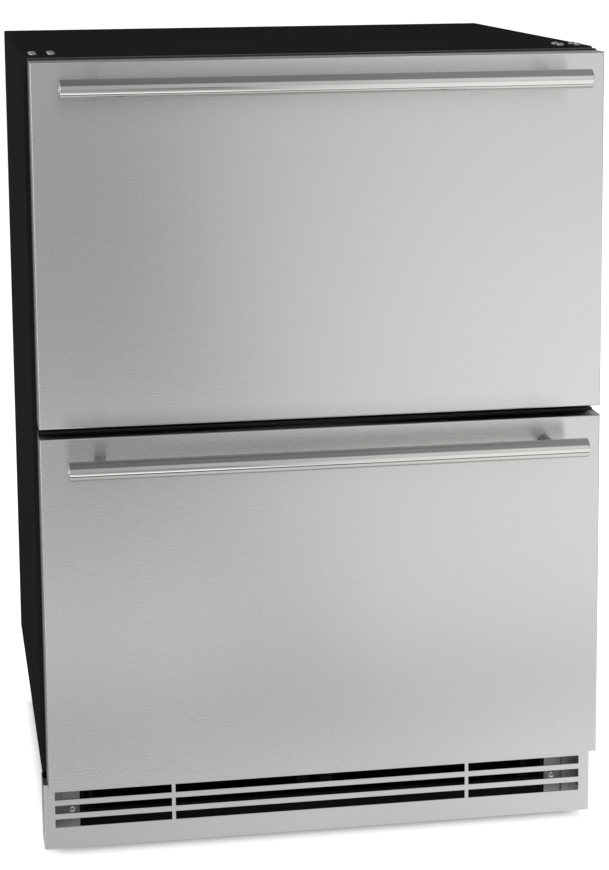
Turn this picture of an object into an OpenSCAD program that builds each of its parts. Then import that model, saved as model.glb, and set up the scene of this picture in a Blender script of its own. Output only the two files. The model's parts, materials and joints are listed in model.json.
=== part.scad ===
// Undercounter refrigerator with two full-width drawers, a stainless toe grille and a steel cabinet.
// Millimetres. +Z is up and -Y is the front. The origin is on the floor, below the middle of the
// whole object's box.

/* [Cabinet] */
// Width over the cabinet sides and over the toe grille
cab_w = 608; // [602:1:640]
// Height of the cabinet top above the floor, with the feet screwed in
unit_h = 867; // [850:1:892]
// Depth from the drawer faces to the rear edges of the cabinet
body_d = 582.5; // [570:0.5:620]
// Height of the side panels' lower edges above the floor
side_z = 93.4; // [90:0.2:104]
// Thickness of the cabinet's sheet steel
sheet = 1; // [0.8:0.1:1.4]
// Width of the folded returns round the front of the cabinet
return_w = 16; // [14:1:20]
// Outside radius of the two folds along the top
fold_r = 2; // [1.6:0.1:4]
// Depth of the back panel inside the cabinet's rear edges
back_recess = 3; // [2.6:0.2:6]
// Height of the screw heads on the back
head_h = 2.2; // [1.4:0.1:2.4]

/* [Insulation and liner] */
// Foam beside the liner
wall_foam = 36; // [30:1:42]
// Foam above the liner
roof_foam = 38; // [30:1:46]
// Foam below the liner
floor_foam = 34; // [28:1:40]
// Foam behind the liner
back_foam = 40; // [32:1:46]
// Foam between the liner and the machine tunnel
step_foam = 34; // [28:1:40]
// Wall of the liner
liner_t = 1.5; // [1:0.1:2.5]
// Radius of the liner's rear and floor corners
liner_r = 12; // [6:1:20]
// Depth of the machine tunnel, forward from the back panel
tunnel_d = 172; // [168:1:184]
// Height of the machine tunnel's roof above the floor
tunnel_top = 280; // [274:1:300]
// Thickness of the black frame round the openings
frame_t = 2.5; // [1.6:0.1:4]
// Depth of the crossbar between the two openings
mullion_d = 45; // [30:1:60]
// Margin of the crossbar beyond the two gaskets that close on it
mullion_lap = 2; // [1:0.5:4]

/* [Drawer fronts] */
// Distance of the drawer fronts inside the cabinet's sides
front_inset = 4; // [3:0.5:9]
// Height of the cabinet top above the upper drawer front
top_reveal = 3; // [2:0.5:8]
// Height of the lower drawer front's bottom edge above the floor
front_z = 95.6; // [92:0.2:106]
// Gap between the two drawer fronts
front_gap = 10; // [6:0.5:16]
// Thickness of the stainless skin
skin_t = 0.9; // [0.7:0.1:1.4]
// Depth of the folded stainless skin
skin_d = 30; // [26:1:36]
// Outside radius of the skin's folds
bend_r = 2; // [1.6:0.1:3.5]
// Depth of the black inner panel behind the skin
panel_d = 17.3; // [14:0.1:22]
// Thickness of the inner panel's walls
panel_t = 3; // [2:0.1:4.5]
// Height of the inner panel above the skin's top
panel_rise = 1.5; // [0.5:0.1:2.5]
// Depth of the magnetic gasket
gasket_d = 11.7; // [9:0.1:14]
// Width of the gasket's seat
gasket_w = 14; // [11:0.5:17]
// Distance of the gasket inside the front's outline
gasket_inset = 6; // [4:0.5:9]

/* [Handles] */
// Diameter of the handle tube
bar_d = 20; // [16:0.5:24]
// Wall of the handle tube
bar_wall = 1.5; // [1:0.1:2.5]
// Distance of the handle's ends inside the front's sides
bar_inset = 26.7; // [15:0.1:50]
// Distance of the tube's axis in front of the drawer face
bar_out = 43.7; // [38:0.1:52]
// Distance of the tube's axis below the front's top edge
bar_drop = 24.6; // [20:0.2:40]
// Chamfer at the handle's ends
bar_chamfer = 1.2; // [0.5:0.1:1.6]
// Thickness of an end cap's rim
cap_t = 3; // [2:0.5:6]
// Diameter of a handle post
post_d = 12; // [11:0.5:15]
// Distance of the posts inside the handle's ends
post_inset = 35.3; // [28:0.1:60]
// Thread diameter of the screws that hold the handle
handle_screw_d = 5; // [4:0.5:6]

/* [Bins] */
// Wall of a bin
bin_t = 1.2; // [0.9:0.1:2]
// Radius of a bin's upright corners
bin_r = 14; // [8:1:22]
// Width of the bin's folded rim
rim_w = 4; // [3:0.5:5]
// Height of the bin's folded rim
rim_h = 8; // [5:0.5:12]
// Gap below a bin
bin_lift = 6; // [4:0.5:10]
// Gap above the upper bin
upper_head = 27; // [25:1:60]
// Gap between the lower bin and the crossbar
lower_head = 12; // [8:1:60]
// Gap behind a bin
bin_air = 8; // [5:0.5:20]
// Number of pressed ribs in a bin's floor
rib_count = 7; // [3:1:11]
// Radius of a pressed rib
rib_r = 2; // [1.3:0.1:3]

/* [Drawer slides] */
// Height of a slide
slide_h = 45; // [42:0.5:52]
// Thickness of a slide from the liner to the bin
slide_t = 12.7; // [12.2:0.1:15]
// Sheet thickness of the three slide members
slide_wall = 1.4; // [1.1:0.1:1.6]
// Diameter of the steel balls
ball_d = 3.6; // [3.2:0.1:4]
// Running clearance round a ball
ball_play = 0.3; // [0.2:0.05:0.4]
// Balls in each row
ball_count = 5; // [3:1:6]
// Height of a slide's middle above the bin's floor
slide_rise = 48; // [40:1:80]
// Distance of the fixed slides behind the cabinet's front
slide_set = 8; // [7:0.5:14]
// How far the upper drawer opens
upper_travel = 390; // [300:5:395]
// How far the lower drawer opens
lower_travel = 270; // [200:5:275]
// Sheet thickness of the brackets between slide and drawer front
bracket_t = 1.5; // [1.2:0.1:2]

/* [Toe grille] */
// Height of the grille's top edge above the floor
grille_top = 85.1; // [82:0.1:88]
// Height of the grille's bottom edge above the floor
grille_bottom = 12.2; // [8:0.1:16]
// Distance of the grille behind the drawer faces
grille_set = 39.5; // [32:0.5:46]
// Gap between the grille's side flanges and the plane of the brackets
flange_gap = 0.5; // [0.3:0.1:8]
// Sheet thickness of the grille
grille_t = 1; // [0.8:0.1:1.5]
// Height of a slot
slot_h = 9.4; // [7:0.1:11]
// Distance from one row of slots to the next
slot_pitch = 15.4; // [13:0.1:17]
// Distance of the first row's middle below the top edge
slot_first = 13.4; // [12:0.1:16]
// Rows of slots
slot_rows = 3; // [2:1:3]
// Plain margin between the slots and the grille's ends
slot_margin = 12; // [9:0.5:16]
// Distance of the two upright ribs from the middle
rib_x = 163.3; // [120:0.5:200]
// Width of an upright rib
rib_w = 4; // [3:0.5:8]
// Distance of the grille brackets behind the drawer faces
bracket_set = 79; // [78:0.5:84]
// Height of the bracket screws above the floor
bracket_screw_z = 41; // [36:0.5:60]

/* [Base and feet] */
// Distance of the base pan inside the cabinet sides
base_inset = 20; // [18:1:26]
// Height of the base pan's underside above the floor
base_z = 22; // [20:0.5:26]
// Sheet thickness of the base pan
base_t = 1.5; // [1.2:0.1:2]
// Height of the base pan's front lip
base_lip = 15; // [10:1:20]
// Height of the apron below the base pan's front edge
base_apron = 8; // [4:0.5:8]
// Diameter of a foot's pad
foot_d = 38; // [32:1:44]
// Height of a foot's pad
foot_pad_h = 8; // [6:0.5:10]
// Diameter of a foot's threaded stem
foot_stem_d = 10; // [8:0.5:12]
// Length of a foot's stem above the pan's underside
foot_stem_l = 44; // [40:1:50]
// Running clearance of the stem in its weld nut
foot_play = 0.08; // [0.05:0.01:0.1]
// Distance of the feet inside the base pan's sides
foot_inset = 34; // [28:1:38]

/* [Cooling] */
// Diameter of the compressor's shell
comp_d = 146; // [130:1:150]
// Height of the compressor's shell
comp_h = 165; // [150:1:175]
// Distance of the compressor's axis inside the base pan's left side
comp_inset = 144; // [138:1:148]
// Height of the rubber mounts under the compressor
grommet_h = 14; // [10:0.5:18]
// Width of the condenser coil
cond_w = 204; // [190:1:210]
// Height of the condenser coil
cond_h = 182; // [176:1:196]
// Depth of the condenser coil
cond_d = 40; // [34:1:44]
// Distance of the condenser inside the base pan's right side
cond_inset = 36; // [30:1:40]
// Diameter of the condenser fan
cond_fan_d = 150; // [130:1:158]
// Width of the evaporator coil
evap_w = 330; // [280:5:360]
// Height of the evaporator coil
evap_h = 104; // [90:1:112]
// Depth of the evaporator's cover
evap_d = 52; // [50:1:60]
// Width of the evaporator's cover
evap_cover_w = 430; // [400:5:460]
// Diameter of the evaporator fan
evap_fan_d = 100; // [90:1:108]
// Diameter of the two fan motors' shafts
shaft_d = 4; // [3:0.5:5]
// Running clearance of a fan hub on its shaft
shaft_play = 0.05; // [0.02:0.01:0.1]
// Fins on each coil
fin_count = 16; // [8:1:20]
// Fan blades on the condenser fan
blade_count = 5; // [3:1:7]

/* [Hidden] */

$fn = 48;
cut = 1;
rest_gap = 0.3;

black = "#1c1c1c";
dark = "#2b2b2b";
stainless = "#b4b3b0";
polished = "#c9c9c6";
galvanised = "#8e9296";
white_liner = "#dfe1e0";
copper = "#b87346";
aluminium = "#a9adb0";
bin_steel = "#9fa2a4";
foam = "#e3d7a8";
lens_white = "#f4f4ee";

cab_x = cab_w / 2;
front_x = cab_x - front_inset;
bar_x = front_x - bar_inset;
post_x = bar_x - post_inset;
handle_reach = bar_out + bar_d / 2;
face_y = handle_reach - (body_d + handle_reach) / 2;
back_y = face_y + body_d;
skin_y = face_y + skin_d;
panel_y = skin_y + panel_d;
cab_y = panel_y + gasket_d + rest_gap;
back_panel_y = back_y - back_recess;

front_h = (unit_h - top_reveal - front_z - front_gap) / 2;
lower_z = front_z;
upper_z = front_z + front_h + front_gap;
gap_z = upper_z - front_gap / 2;
mullion_h = front_gap + 2 * (gasket_inset + gasket_w + mullion_lap);
mullion_top = gap_z + mullion_h / 2;
mullion_bottom = gap_z - mullion_h / 2;

room_x = cab_x - sheet - wall_foam - liner_t;
ceiling_z = unit_h - sheet - roof_foam - liner_t;
floor_z = side_z + sheet + floor_foam + liner_t;
rear_y = back_panel_y - sheet - back_foam - liner_t;
tunnel_y = back_panel_y - tunnel_d;
step_y = tunnel_y - sheet - step_foam - liner_t;
step_z = tunnel_top + sheet + step_foam + liner_t;
liner_y = cab_y + frame_t;
bottom_return = 12;
top_screw_side = 11.2;
top_screw_back = 17.3;
top_screw_step_x = 19.2;
top_screw_step_y = 22.3;
corner_plate_t = 2;
corner_plate_edge = 6;
screw_edge = 12;
drain_r = 8;
drain_wall = 3;
drain_hole_r = drain_r + 0.5;
back_screw_x = cab_x - sheet - 8;

evap_y = rear_y - evap_d;
bin_x = room_x - slide_t;
upper_bin_z = mullion_top + bin_lift;
upper_bin_top = ceiling_z - upper_head;
upper_bin_y = evap_y - bin_air - rim_w;
lower_bin_z = floor_z + bin_lift;
lower_bin_top = mullion_bottom - lower_head;
lower_bin_y = step_y - bin_air - rim_w;
rail_y = cab_y + slide_set;
upper_rail_z = upper_bin_z + slide_rise;
lower_rail_z = lower_bin_z + slide_rise;

base_x = cab_x - base_inset;
bracket_y = face_y + bracket_set;
base_y = bracket_y + base_t;
pan_z = base_z + base_t;
return_x = base_x - 26;
bracket_x = base_x - 21;
bracket_step_x = base_x - 4;
bracket_screw_x = (bracket_x + bracket_step_x) / 2;
foot_x = base_x - foot_inset;
front_foot_y = base_y + 36;
rear_foot_y = back_panel_y - 40;
gland_r = 8;
gland_x = base_x - 70;
gland_z = (pan_z + side_z) / 2;
screw_d = 4;
screw_l = 8;
top_head_h = 2.5;
hole_play = 0.1;

comp_x = base_x - comp_inset;
comp_y = tunnel_y + 4 + comp_d / 2;
comp_plate_z = pan_z + grommet_h;
comp_plate_t = 2.5;
comp_plate_x = 84;
comp_plate_y = comp_d / 2 - 4;
comp_plate_r = 10;
comp_plate_back = -6;
comp_shell_z = comp_plate_z + 5;
grommet_neck_r = 4;
grommet_edge = 13;
// Pipe stubs on the compressor: offset in X and Y from its axis, and the pipe's radius
pipe_stubs = [[20, -37, 4], [-22, -10, 3], [6, 34, 3]];
stub_rise = 3;
cond_x = base_x - cond_inset - cond_w;
cond_y = tunnel_y + 6;
cond_z = pan_z + 2;
shroud_y = cond_y + cond_d + rest_gap;
cond_mid_x = cond_x + cond_w / 2;
cond_mid_z = cond_z + cond_h / 2;
ring_d = 28;
cond_motor_y = shroud_y + ring_d + 6;
cond_motor_l = 36;
cond_motor_r = 30;
cond_hub_r = 20;
cond_hub_l = 22;
cond_chord = 44;
fan_gap = 4;
nose_r = 12;
nose_l = 4;
outlet_set = 8;
outlet_x = cond_x + outlet_set;
outlet_y = cond_y + cond_d - 6;
outlet_r = 2.5;
pipe_drop = 26;
drier_gap = 14;
drier_l = 60;
drier_r = 8;
suction_x = -comp_x + pipe_stubs[0][0];
suction_y = comp_y + pipe_stubs[0][1];
evap_cover_z = mullion_top + 16;
evap_cover_top = ceiling_z - 20;
evap_coil_z = evap_cover_z + 8;
evap_coil_y = evap_y + 9;
evap_coil_d = 36;
evap_fan_y = evap_y + 6;
evap_fan_z = evap_cover_top - evap_fan_d / 2 - 22;
evap_motor_l = 22;
evap_motor_r = 18;
evap_shaft_l = 20;
evap_hub_r = 15;
evap_hub_l = 16;
evap_chord = 32;
evap_blades = 5;
drain_set = 80;
drain_y = tunnel_y - drain_set;
drain_drop = 20;
tray_x = 110;
tray_front = 70;
tray_back = 60;
tray_y0 = drain_y - tray_front;
tray_y1 = drain_y + tray_back;
tray_h = 26;
tray_wall = 2;
tray_r = 10;
control_x = 90;
control_set = 14;
control_h = 20;
control_y = liner_y + control_set;
control_z = ceiling_z - control_h;
control_r = 6;
key_r = 6;
key_x = 18;
key_t = 1.5;
key_set = 20;
key_y = control_y + key_set;
lens_x = 50;
lens_y0 = key_y + key_set;
lens_d = 30;
lens_y1 = lens_y0 + lens_d;
lens_t = 4;
lens_r = 3;
lens_edge = 8;
cond_rows = 7;
evap_rows = 4;

// Simple solids between two opposite corners
module block(x0, x1, y0, y1, z0, z1) {
  translate([x0, y0, z0]) cube([x1 - x0, y1 - y0, z1 - z0]);
}

module both_sides() {
  children();
  mirror([1, 0, 0]) children();
}

// A flat outline in X and Z, drawn out along Y from y0 to y1
module along_y(y0, y1) {
  translate([0, y1, 0]) rotate([90, 0, 0]) linear_extrude(y1 - y0) children();
}

// A flat outline in Y and Z, drawn out along X from x0 to x1
module along_x(x0, x1) {
  translate([x0, 0, 0]) rotate([90, 0, 90]) linear_extrude(x1 - x0) children();
}

module rod_y(x, y0, y1, z, r) {
  translate([x, y0, z]) rotate([-90, 0, 0]) cylinder(h = y1 - y0, r = r);
}

module rod_x(x0, x1, y, z, r) {
  translate([x0, y, z]) rotate([0, 90, 0]) cylinder(h = x1 - x0, r = r);
}

// Rectangle from one corner to the other with round corners
module round_rect(x0, x1, y0, y1, r) {
  translate([x0 + r, y0]) square([x1 - x0 - 2 * r, y1 - y0]);
  translate([x0, y0 + r]) square([x1 - x0, y1 - y0 - 2 * r]);
  for (x = [x0 + r, x1 - r], y = [y0 + r, y1 - r]) translate([x, y]) circle(r);
}

// Upright block with round upright corners, even about the middle
module round_block(x, y0, y1, z0, z1, r) {
  translate([0, 0, z0]) linear_extrude(z1 - z0) round_rect(-x, x, y0, y1, r);
}

// Pan-head screw along -Z, with its head standing on z = 0
module pan_screw(d, l, h) {
  crown = 0.35;
  rotate_extrude() difference() {
    union() {
      translate([0, -l]) square([d / 2, l]);
      square([d, h * (1 - crown)]);
      intersection() {
        translate([0, h * (1 - crown)]) square([d, h * crown]);
        translate([0, h - (d * d + h * h * crown * crown) / (2 * h * crown)])
          circle((d * d + h * h * crown * crown) / (2 * h * crown), $fn = 96);
      }
    }
    translate([-2 * d, -2 * l]) square([2 * d, 4 * l]);
  }
}

// --- Cabinet ---

module wrapper_outline(inset, drop) {
  r = fold_r - inset;
  x = cab_x - inset;
  top = unit_h - inset;
  translate([-x, side_z - drop]) square([2 * x, top - r - side_z + drop]);
  translate([-x + r, side_z - drop]) square([2 * (x - r), top - side_z + drop]);
  for (s = [-1, 1]) translate([s * (x - r), top - r]) circle(r);
}

function top_screw_x(i) = cab_x - top_screw_side - top_screw_step_x * i;
function top_screw_y(i) = cab_y + top_screw_back + top_screw_step_y * i;

module at_top_screws() {
  both_sides() for (i = [0, 1], j = [0, 1])
    translate([top_screw_x(i), top_screw_y(j), unit_h]) children();
}

module outer_wrapper() {
  color(black) difference() {
    union() {
      along_y(cab_y, back_y) difference() {
        wrapper_outline(0, 0);
        wrapper_outline(sheet, cut);
      }
      along_y(cab_y, cab_y + sheet) difference() {
        wrapper_outline(0, 0);
        translate([-cab_x + return_w, side_z - cut])
          square([2 * (cab_x - return_w), unit_h - return_w - side_z + cut]);
      }
      both_sides() block(cab_x - bottom_return, cab_x - sheet / 2, cab_y, back_y, side_z, side_z + sheet);
    }
    at_top_screws() translate([0, 0, -2 * sheet]) cylinder(h = 3 * sheet, d = screw_d + 2 * hole_play);
  }
}

module top_corner_plates() {
  z1 = unit_h - sheet;
  z0 = z1 - corner_plate_t;
  color(galvanised) both_sides() difference() {
    block(top_screw_x(1) - corner_plate_edge, cab_x - sheet - fold_r, liner_y, top_screw_y(1) + corner_plate_edge,
      z0, z1);
    for (i = [0, 1], j = [0, 1]) translate([top_screw_x(i), top_screw_y(j), z0 - cut])
      cylinder(h = corner_plate_t + 2 * cut, d = screw_d + 2 * hole_play);
  }
}

module top_screws() {
  color(polished) at_top_screws() pan_screw(screw_d, screw_l, top_head_h);
}

module back_screw_places() {
  z0 = tunnel_top + screw_edge;
  z3 = unit_h - sheet - screw_edge;
  for (x = [-1, -1 / 3, 1 / 3, 1], z = [z0, z3]) translate([x * back_screw_x, back_panel_y, z]) children();
  for (x = [-1, 1], i = [1, 2]) translate([x * back_screw_x, back_panel_y, z0 + (z3 - z0) * i / 3]) children();
}

module cover_screw_places() {
  for (x = [-1, 0, 1], z = [side_z + sheet + screw_edge, tunnel_top - screw_edge])
    translate([x * back_screw_x, back_panel_y, z]) children();
}

module back_screws() {
  color(polished) {
    back_screw_places() rotate([-90, 0, 0]) pan_screw(screw_d, screw_l, head_h);
    cover_screw_places() rotate([-90, 0, 0]) pan_screw(screw_d, screw_l, head_h);
  }
}

module screw_hole_y() {
  rotate([90, 0, 0]) cylinder(h = 30, d = screw_d + 2 * hole_play, center = true);
}

module back_panel() {
  color(galvanised) difference() {
    block(-cab_x + sheet, cab_x - sheet, back_panel_y - sheet, back_panel_y, tunnel_top, unit_h - sheet);
    back_screw_places() screw_hole_y();
  }
}

module bottom_panel() {
  color(galvanised) difference() {
    block(-cab_x + bottom_return, cab_x - bottom_return, liner_y, tunnel_y, side_z, side_z + sheet);
    translate([0, drain_y, side_z - cut]) cylinder(h = sheet + 2 * cut, r = drain_hole_r);
  }
}

// Bent sheet that separates the foam from the machinery
module machine_tunnel() {
  half = cab_x - sheet;
  color(galvanised) difference() {
    union() {
      block(-half, half, tunnel_y - sheet, tunnel_y, side_z + sheet, tunnel_top + sheet);
      block(-half, half, tunnel_y - sheet, back_panel_y - sheet, tunnel_top, tunnel_top + sheet);
    }
    for (p = [[suction_x, suction_y, pipe_stubs[0][2]], [outlet_x, outlet_y, outlet_r]])
      translate([p[0], p[1], tunnel_top - cut]) cylinder(h = sheet + 2 * cut, r = p[2] + 0.5);
  }
}

module liner_profile(y0, grow) {
  r = liner_r + grow;
  far = rear_y + grow;
  round_rect(y0 - 3 * liner_r, far, step_z - grow, ceiling_z + grow, r);
  round_rect(y0 - 3 * liner_r, step_y + grow, floor_z - grow, ceiling_z + grow, r);
}

module liner_solid(y0, grow) {
  half = room_x + grow;
  intersection() {
    along_x(-half, half) liner_profile(y0, grow);
    round_block(half, y0 - 3 * liner_r, rear_y + grow, floor_z - grow, ceiling_z + grow, liner_r + grow);
    block(-half, half, y0, rear_y + grow, floor_z - grow, ceiling_z + grow);
  }
}

module inner_liner() {
  color(white_liner) difference() {
    liner_solid(liner_y, liner_t);
    liner_solid(liner_y - cut, 0);
    translate([0, drain_y, floor_z - 2 * liner_t]) cylinder(h = 3 * liner_t, r = drain_r - drain_wall);
  }
}

module foam_insulation() {
  half = cab_x - sheet;
  color(foam) difference() {
    along_y(liner_y, back_panel_y - sheet) difference() {
      wrapper_outline(sheet, 0);
      translate([-half, side_z - cut]) square([2 * half, sheet + cut]);
    }
    liner_solid(liner_y - cut, liner_t);
    block(-cab_x, cab_x, tunnel_y - sheet, back_y, side_z - cut, tunnel_top + sheet);
    both_sides() block(top_screw_x(1) - corner_plate_edge, cab_x, liner_y - cut, top_screw_y(1) + corner_plate_edge,
      unit_h - sheet - corner_plate_t, unit_h);
    at_top_screws() translate([0, 0, -screw_l - cut]) cylinder(h = screw_l + cut, d = screw_d + 2 * hole_play);
    back_screw_places() screw_hole_y();
    translate([0, drain_y, side_z - cut]) cylinder(h = floor_foam + 3 * cut, r = drain_hole_r);
  }
}

module face_frame() {
  half = cab_x - return_w;
  color(black) along_y(cab_y, cab_y + frame_t) difference() {
    translate([-half, side_z]) square([2 * half, unit_h - return_w - side_z]);
    translate([-room_x, floor_z]) square([2 * room_x, ceiling_z - floor_z]);
  }
}

module crossbar() {
  color(black) along_x(-room_x, room_x)
    round_rect(cab_y, cab_y + mullion_d, mullion_bottom, mullion_top, 2);
}

// Louvred sheet over the machinery: rows of slots with a raised eyebrow above each
module rear_cover() {
  half = cab_x - sheet;
  z0 = side_z + sheet;
  vent_w = 60;
  vent_h = 5;
  margin = 25;
  columns = 5;
  rows = 8;
  pitch_x = 2 * (half - margin) / columns;
  pitch_z = (tunnel_top - z0 - 2 * margin) / (rows - 1);
  vents = [for (i = [0:columns - 1], j = [0:rows - 1])
    [(i - (columns - 1) / 2) * pitch_x, back_panel_y, z0 + margin + j * pitch_z]];
  color(galvanised) difference() {
    union() {
      block(-half, half, back_panel_y - sheet, back_panel_y, z0, tunnel_top);
      for (v = vents) translate(v) intersection() {
        rod_x(-vent_w / 2, vent_w / 2, 0, 0, vent_h / 2);
        block(-vent_w / 2, vent_w / 2, -sheet, vent_h, 0, vent_h);
      }
    }
    for (v = vents) translate(v)
      block(-vent_w / 2 + sheet, vent_w / 2 - sheet, -2 * sheet, sheet, -vent_h / 2, 0);
    cover_screw_places() screw_hole_y();
  }
}

// --- Base ---

module at_bracket_screws() {
  both_sides() translate([bracket_screw_x, bracket_y, bracket_screw_z]) children();
}

module at_feet() {
  for (x = [-foot_x, foot_x], y = [front_foot_y, rear_foot_y]) translate([x, y, 0]) children();
}

module base_pan() {
  rear = back_panel_y;
  vent_w = 10;
  vent_h = 36;
  vent_pitch = 30;
  color(dark) difference() {
    union() {
      block(-base_x, base_x, base_y, rear, base_z, pan_z);
      both_sides() block(base_x - base_t, base_x, base_y, rear, base_z, side_z);
      both_sides() block(base_x - base_t, cab_x - sheet, base_y, rear, side_z - base_t, side_z);
      both_sides() block(return_x, cab_x - sheet, base_y, base_y + base_t, base_z - base_apron, side_z);
      block(-base_x, base_x, base_y, base_y + base_t, base_z - base_apron, pan_z + base_lip);
      block(-base_x, base_x, rear - base_t, rear, base_z, side_z);
    }
    at_feet() translate([0, 0, base_z - cut]) cylinder(h = base_t + 2 * cut, d = foot_stem_d + 2);
    at_bracket_screws() screw_hole_y();
    for (i = [-5:5]) translate([i * vent_pitch, rear, gland_z]) along_y(-2 * base_t, cut)
      round_rect(-vent_w / 2, vent_w / 2, -vent_h / 2, vent_h / 2, vent_w / 2 - 0.1);
    rod_y(-gland_x, rear - 2 * base_t, rear + cut, gland_z, gland_r + hole_play);
  }
}

// Strain-relief bush for the mains cord, with a flange outside and a tapered nose inside
module cord_gland() {
  flange_h = 2.4;
  taper_l = 8;
  cord_hole_r = 4.5;
  color(black) translate([-gland_x, back_panel_y, gland_z]) rotate([90, 0, 0]) difference() {
    union() {
      translate([0, 0, -flange_h]) cylinder(h = flange_h, r1 = gland_r + 2, r2 = gland_r + 4);
      cylinder(h = base_t, r = gland_r);
      translate([0, 0, base_t]) cylinder(h = taper_l, r1 = gland_r + 1.5, r2 = gland_r);
    }
    translate([0, 0, -flange_h - cut]) cylinder(h = flange_h + base_t + taper_l + 2 * cut, r = cord_hole_r);
  }
}

module weld_nuts() {
  nut_h = 10;
  color(galvanised) at_feet() translate([0, 0, pan_z]) difference() {
    cylinder(h = nut_h, d = 2 * foot_stem_d, $fn = 6);
    translate([0, 0, -cut]) cylinder(h = nut_h + 2 * cut, d = foot_stem_d + 2 * foot_play);
  }
}

module foot(x, y) {
  collar_d = 24;
  color(dark) translate([x, y, 0]) {
    rotate_extrude() {
      square([foot_d / 2 - 1, foot_pad_h]);
      translate([0, 1]) square([foot_d / 2, foot_pad_h - 2]);
    }
    cylinder(h = base_z - rest_gap, d = collar_d, $fn = 6);
    cylinder(h = base_z + foot_stem_l, d = foot_stem_d);
  }
}

module front_left_foot() foot(-foot_x, front_foot_y);
module front_right_foot() foot(foot_x, front_foot_y);
module rear_left_foot() foot(-foot_x, rear_foot_y);
module rear_right_foot() foot(foot_x, rear_foot_y);

// --- Toe grille ---

function slot_z(i) = grille_top - slot_first - i * slot_pitch;

module toe_grille() {
  y0 = face_y + grille_set;
  y1 = bracket_y - flange_gap;
  r = 2;
  lip = 8;
  slot_x = cab_x - slot_margin;
  color(stainless) difference() {
    union() {
      translate([0, 0, grille_bottom]) linear_extrude(grille_top - grille_bottom) difference() {
        round_rect(-cab_x, cab_x, y0, y1 + 2 * r, r);
        round_rect(-cab_x + grille_t, cab_x - grille_t, y0 + grille_t, y1 + 4 * r, r - grille_t);
        translate([-cab_x - cut, y1]) square([2 * (cab_x + cut), 6 * r]);
      }
      for (z = [grille_bottom, grille_top - grille_t])
        block(-cab_x + r, cab_x - r, y0 + grille_t / 2, y0 + lip, z, z + grille_t);
    }
    for (i = [0:slot_rows - 1]) {
      z0 = slot_z(i) - slot_h / 2;
      z1 = slot_z(i) + slot_h / 2;
      both_sides() block(rib_x + rib_w / 2, slot_x, y0 - cut, y0 + 2 * grille_t, z0, z1);
      block(-rib_x + rib_w / 2, rib_x - rib_w / 2, y0 - cut, y0 + 2 * grille_t, z0, z1);
    }
  }
}

// Galvanised plates that carry the grille, with a joggle and a forward leg inside each flange
module grille_brackets() {
  joggle = 4;
  arm_x = cab_x - grille_t;
  arm_y = face_y + grille_set + 12;
  z0 = grille_bottom + 4;
  z1 = side_z - base_t - 1;
  arm_z0 = z0 + 12;
  arm_z1 = grille_top - 6;
  color(galvanised) both_sides() difference() {
    union() {
      block(bracket_x, base_x, bracket_y, bracket_y + base_t, z0, z1);
      block(base_x - base_t, base_x, bracket_y - joggle, bracket_y + base_t, z0, arm_z1);
      block(base_x - base_t, arm_x, bracket_y - joggle, bracket_y - joggle + base_t, z0, arm_z1);
      block(arm_x - base_t, arm_x, arm_y, bracket_y - joggle + base_t, arm_z0, arm_z1);
    }
    translate([bracket_screw_x, bracket_y, bracket_screw_z]) screw_hole_y();
  }
}

module bracket_screws() {
  color(polished) at_bracket_screws() rotate([90, 0, 0]) pan_screw(screw_d, screw_l, top_head_h);
}

// Bent strip with two tabs that hang behind the grille's top row and carry the wiring
module centre_hanger() {
  y0 = base_y + 6;
  tab_w = 14.5;
  tab_in = 6;
  tab_h = 45;
  strip_t = 1.2;
  strip_d = 26;
  color(black) {
    both_sides() block(tab_in, tab_in + tab_w, y0, y0 + strip_t, side_z - tab_h, side_z);
    block(-tab_in - tab_w, tab_in + tab_w, y0, y0 + strip_d, side_z - strip_t, side_z);
  }
}

// --- Cooling system ---

// Welded steel shell with a seam, a base plate, three pipe stubs and a terminal fence
module compressor() {
  r = comp_d / 2;
  wall_r = r - 3;
  dome = 34;
  crown_r = 1.35 * r;
  sump_r = 1.6 * r;
  crown_z = comp_h - crown_r + sqrt(crown_r * crown_r - wall_r * wall_r);
  sump_z = sump_r - sqrt(sump_r * sump_r - wall_r * wall_r);
  seam_z = 0.56 * comp_h;
  seam_h = 6;
  saddle_r = 0.6 * r;
  color(black) difference() {
    union() {
      translate([-comp_x, comp_y, comp_shell_z]) rotate_extrude() {
        translate([0, sump_z]) square([wall_r, crown_z - sump_z]);
        translate([0, seam_z]) square([r, seam_h]);
        intersection() {
          square([wall_r, comp_h]);
          translate([0, comp_h - crown_r]) circle(crown_r, $fn = 96);
        }
        intersection() {
          square([wall_r, crown_z]);
          translate([0, sump_r]) circle(sump_r, $fn = 96);
        }
      }
      translate([-comp_x, comp_y + comp_plate_back, comp_plate_z]) linear_extrude(comp_plate_t)
        round_rect(-comp_plate_x, comp_plate_x, -comp_plate_y, comp_plate_y, comp_plate_r);
      translate([-comp_x, comp_y, comp_plate_z]) cylinder(h = 2 * (comp_shell_z - comp_plate_z), r = saddle_r);
      for (p = pipe_stubs) translate([-comp_x + p[0], comp_y + p[1], comp_shell_z + comp_h - dome])
        cylinder(h = dome + stub_rise, r = p[2] + 1);
    }
    at_compressor_mounts() translate([0, 0, -cut])
      cylinder(h = comp_plate_t + 2 * cut, r = grommet_neck_r + hole_play);
  }
}

module at_compressor_mounts() {
  dx = comp_plate_x - grommet_edge;
  dy = comp_plate_y - grommet_edge;
  for (x = [-dx, dx], y = [-dy, dy]) translate([x - comp_x, y + comp_y + comp_plate_back, comp_plate_z]) children();
}

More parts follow.
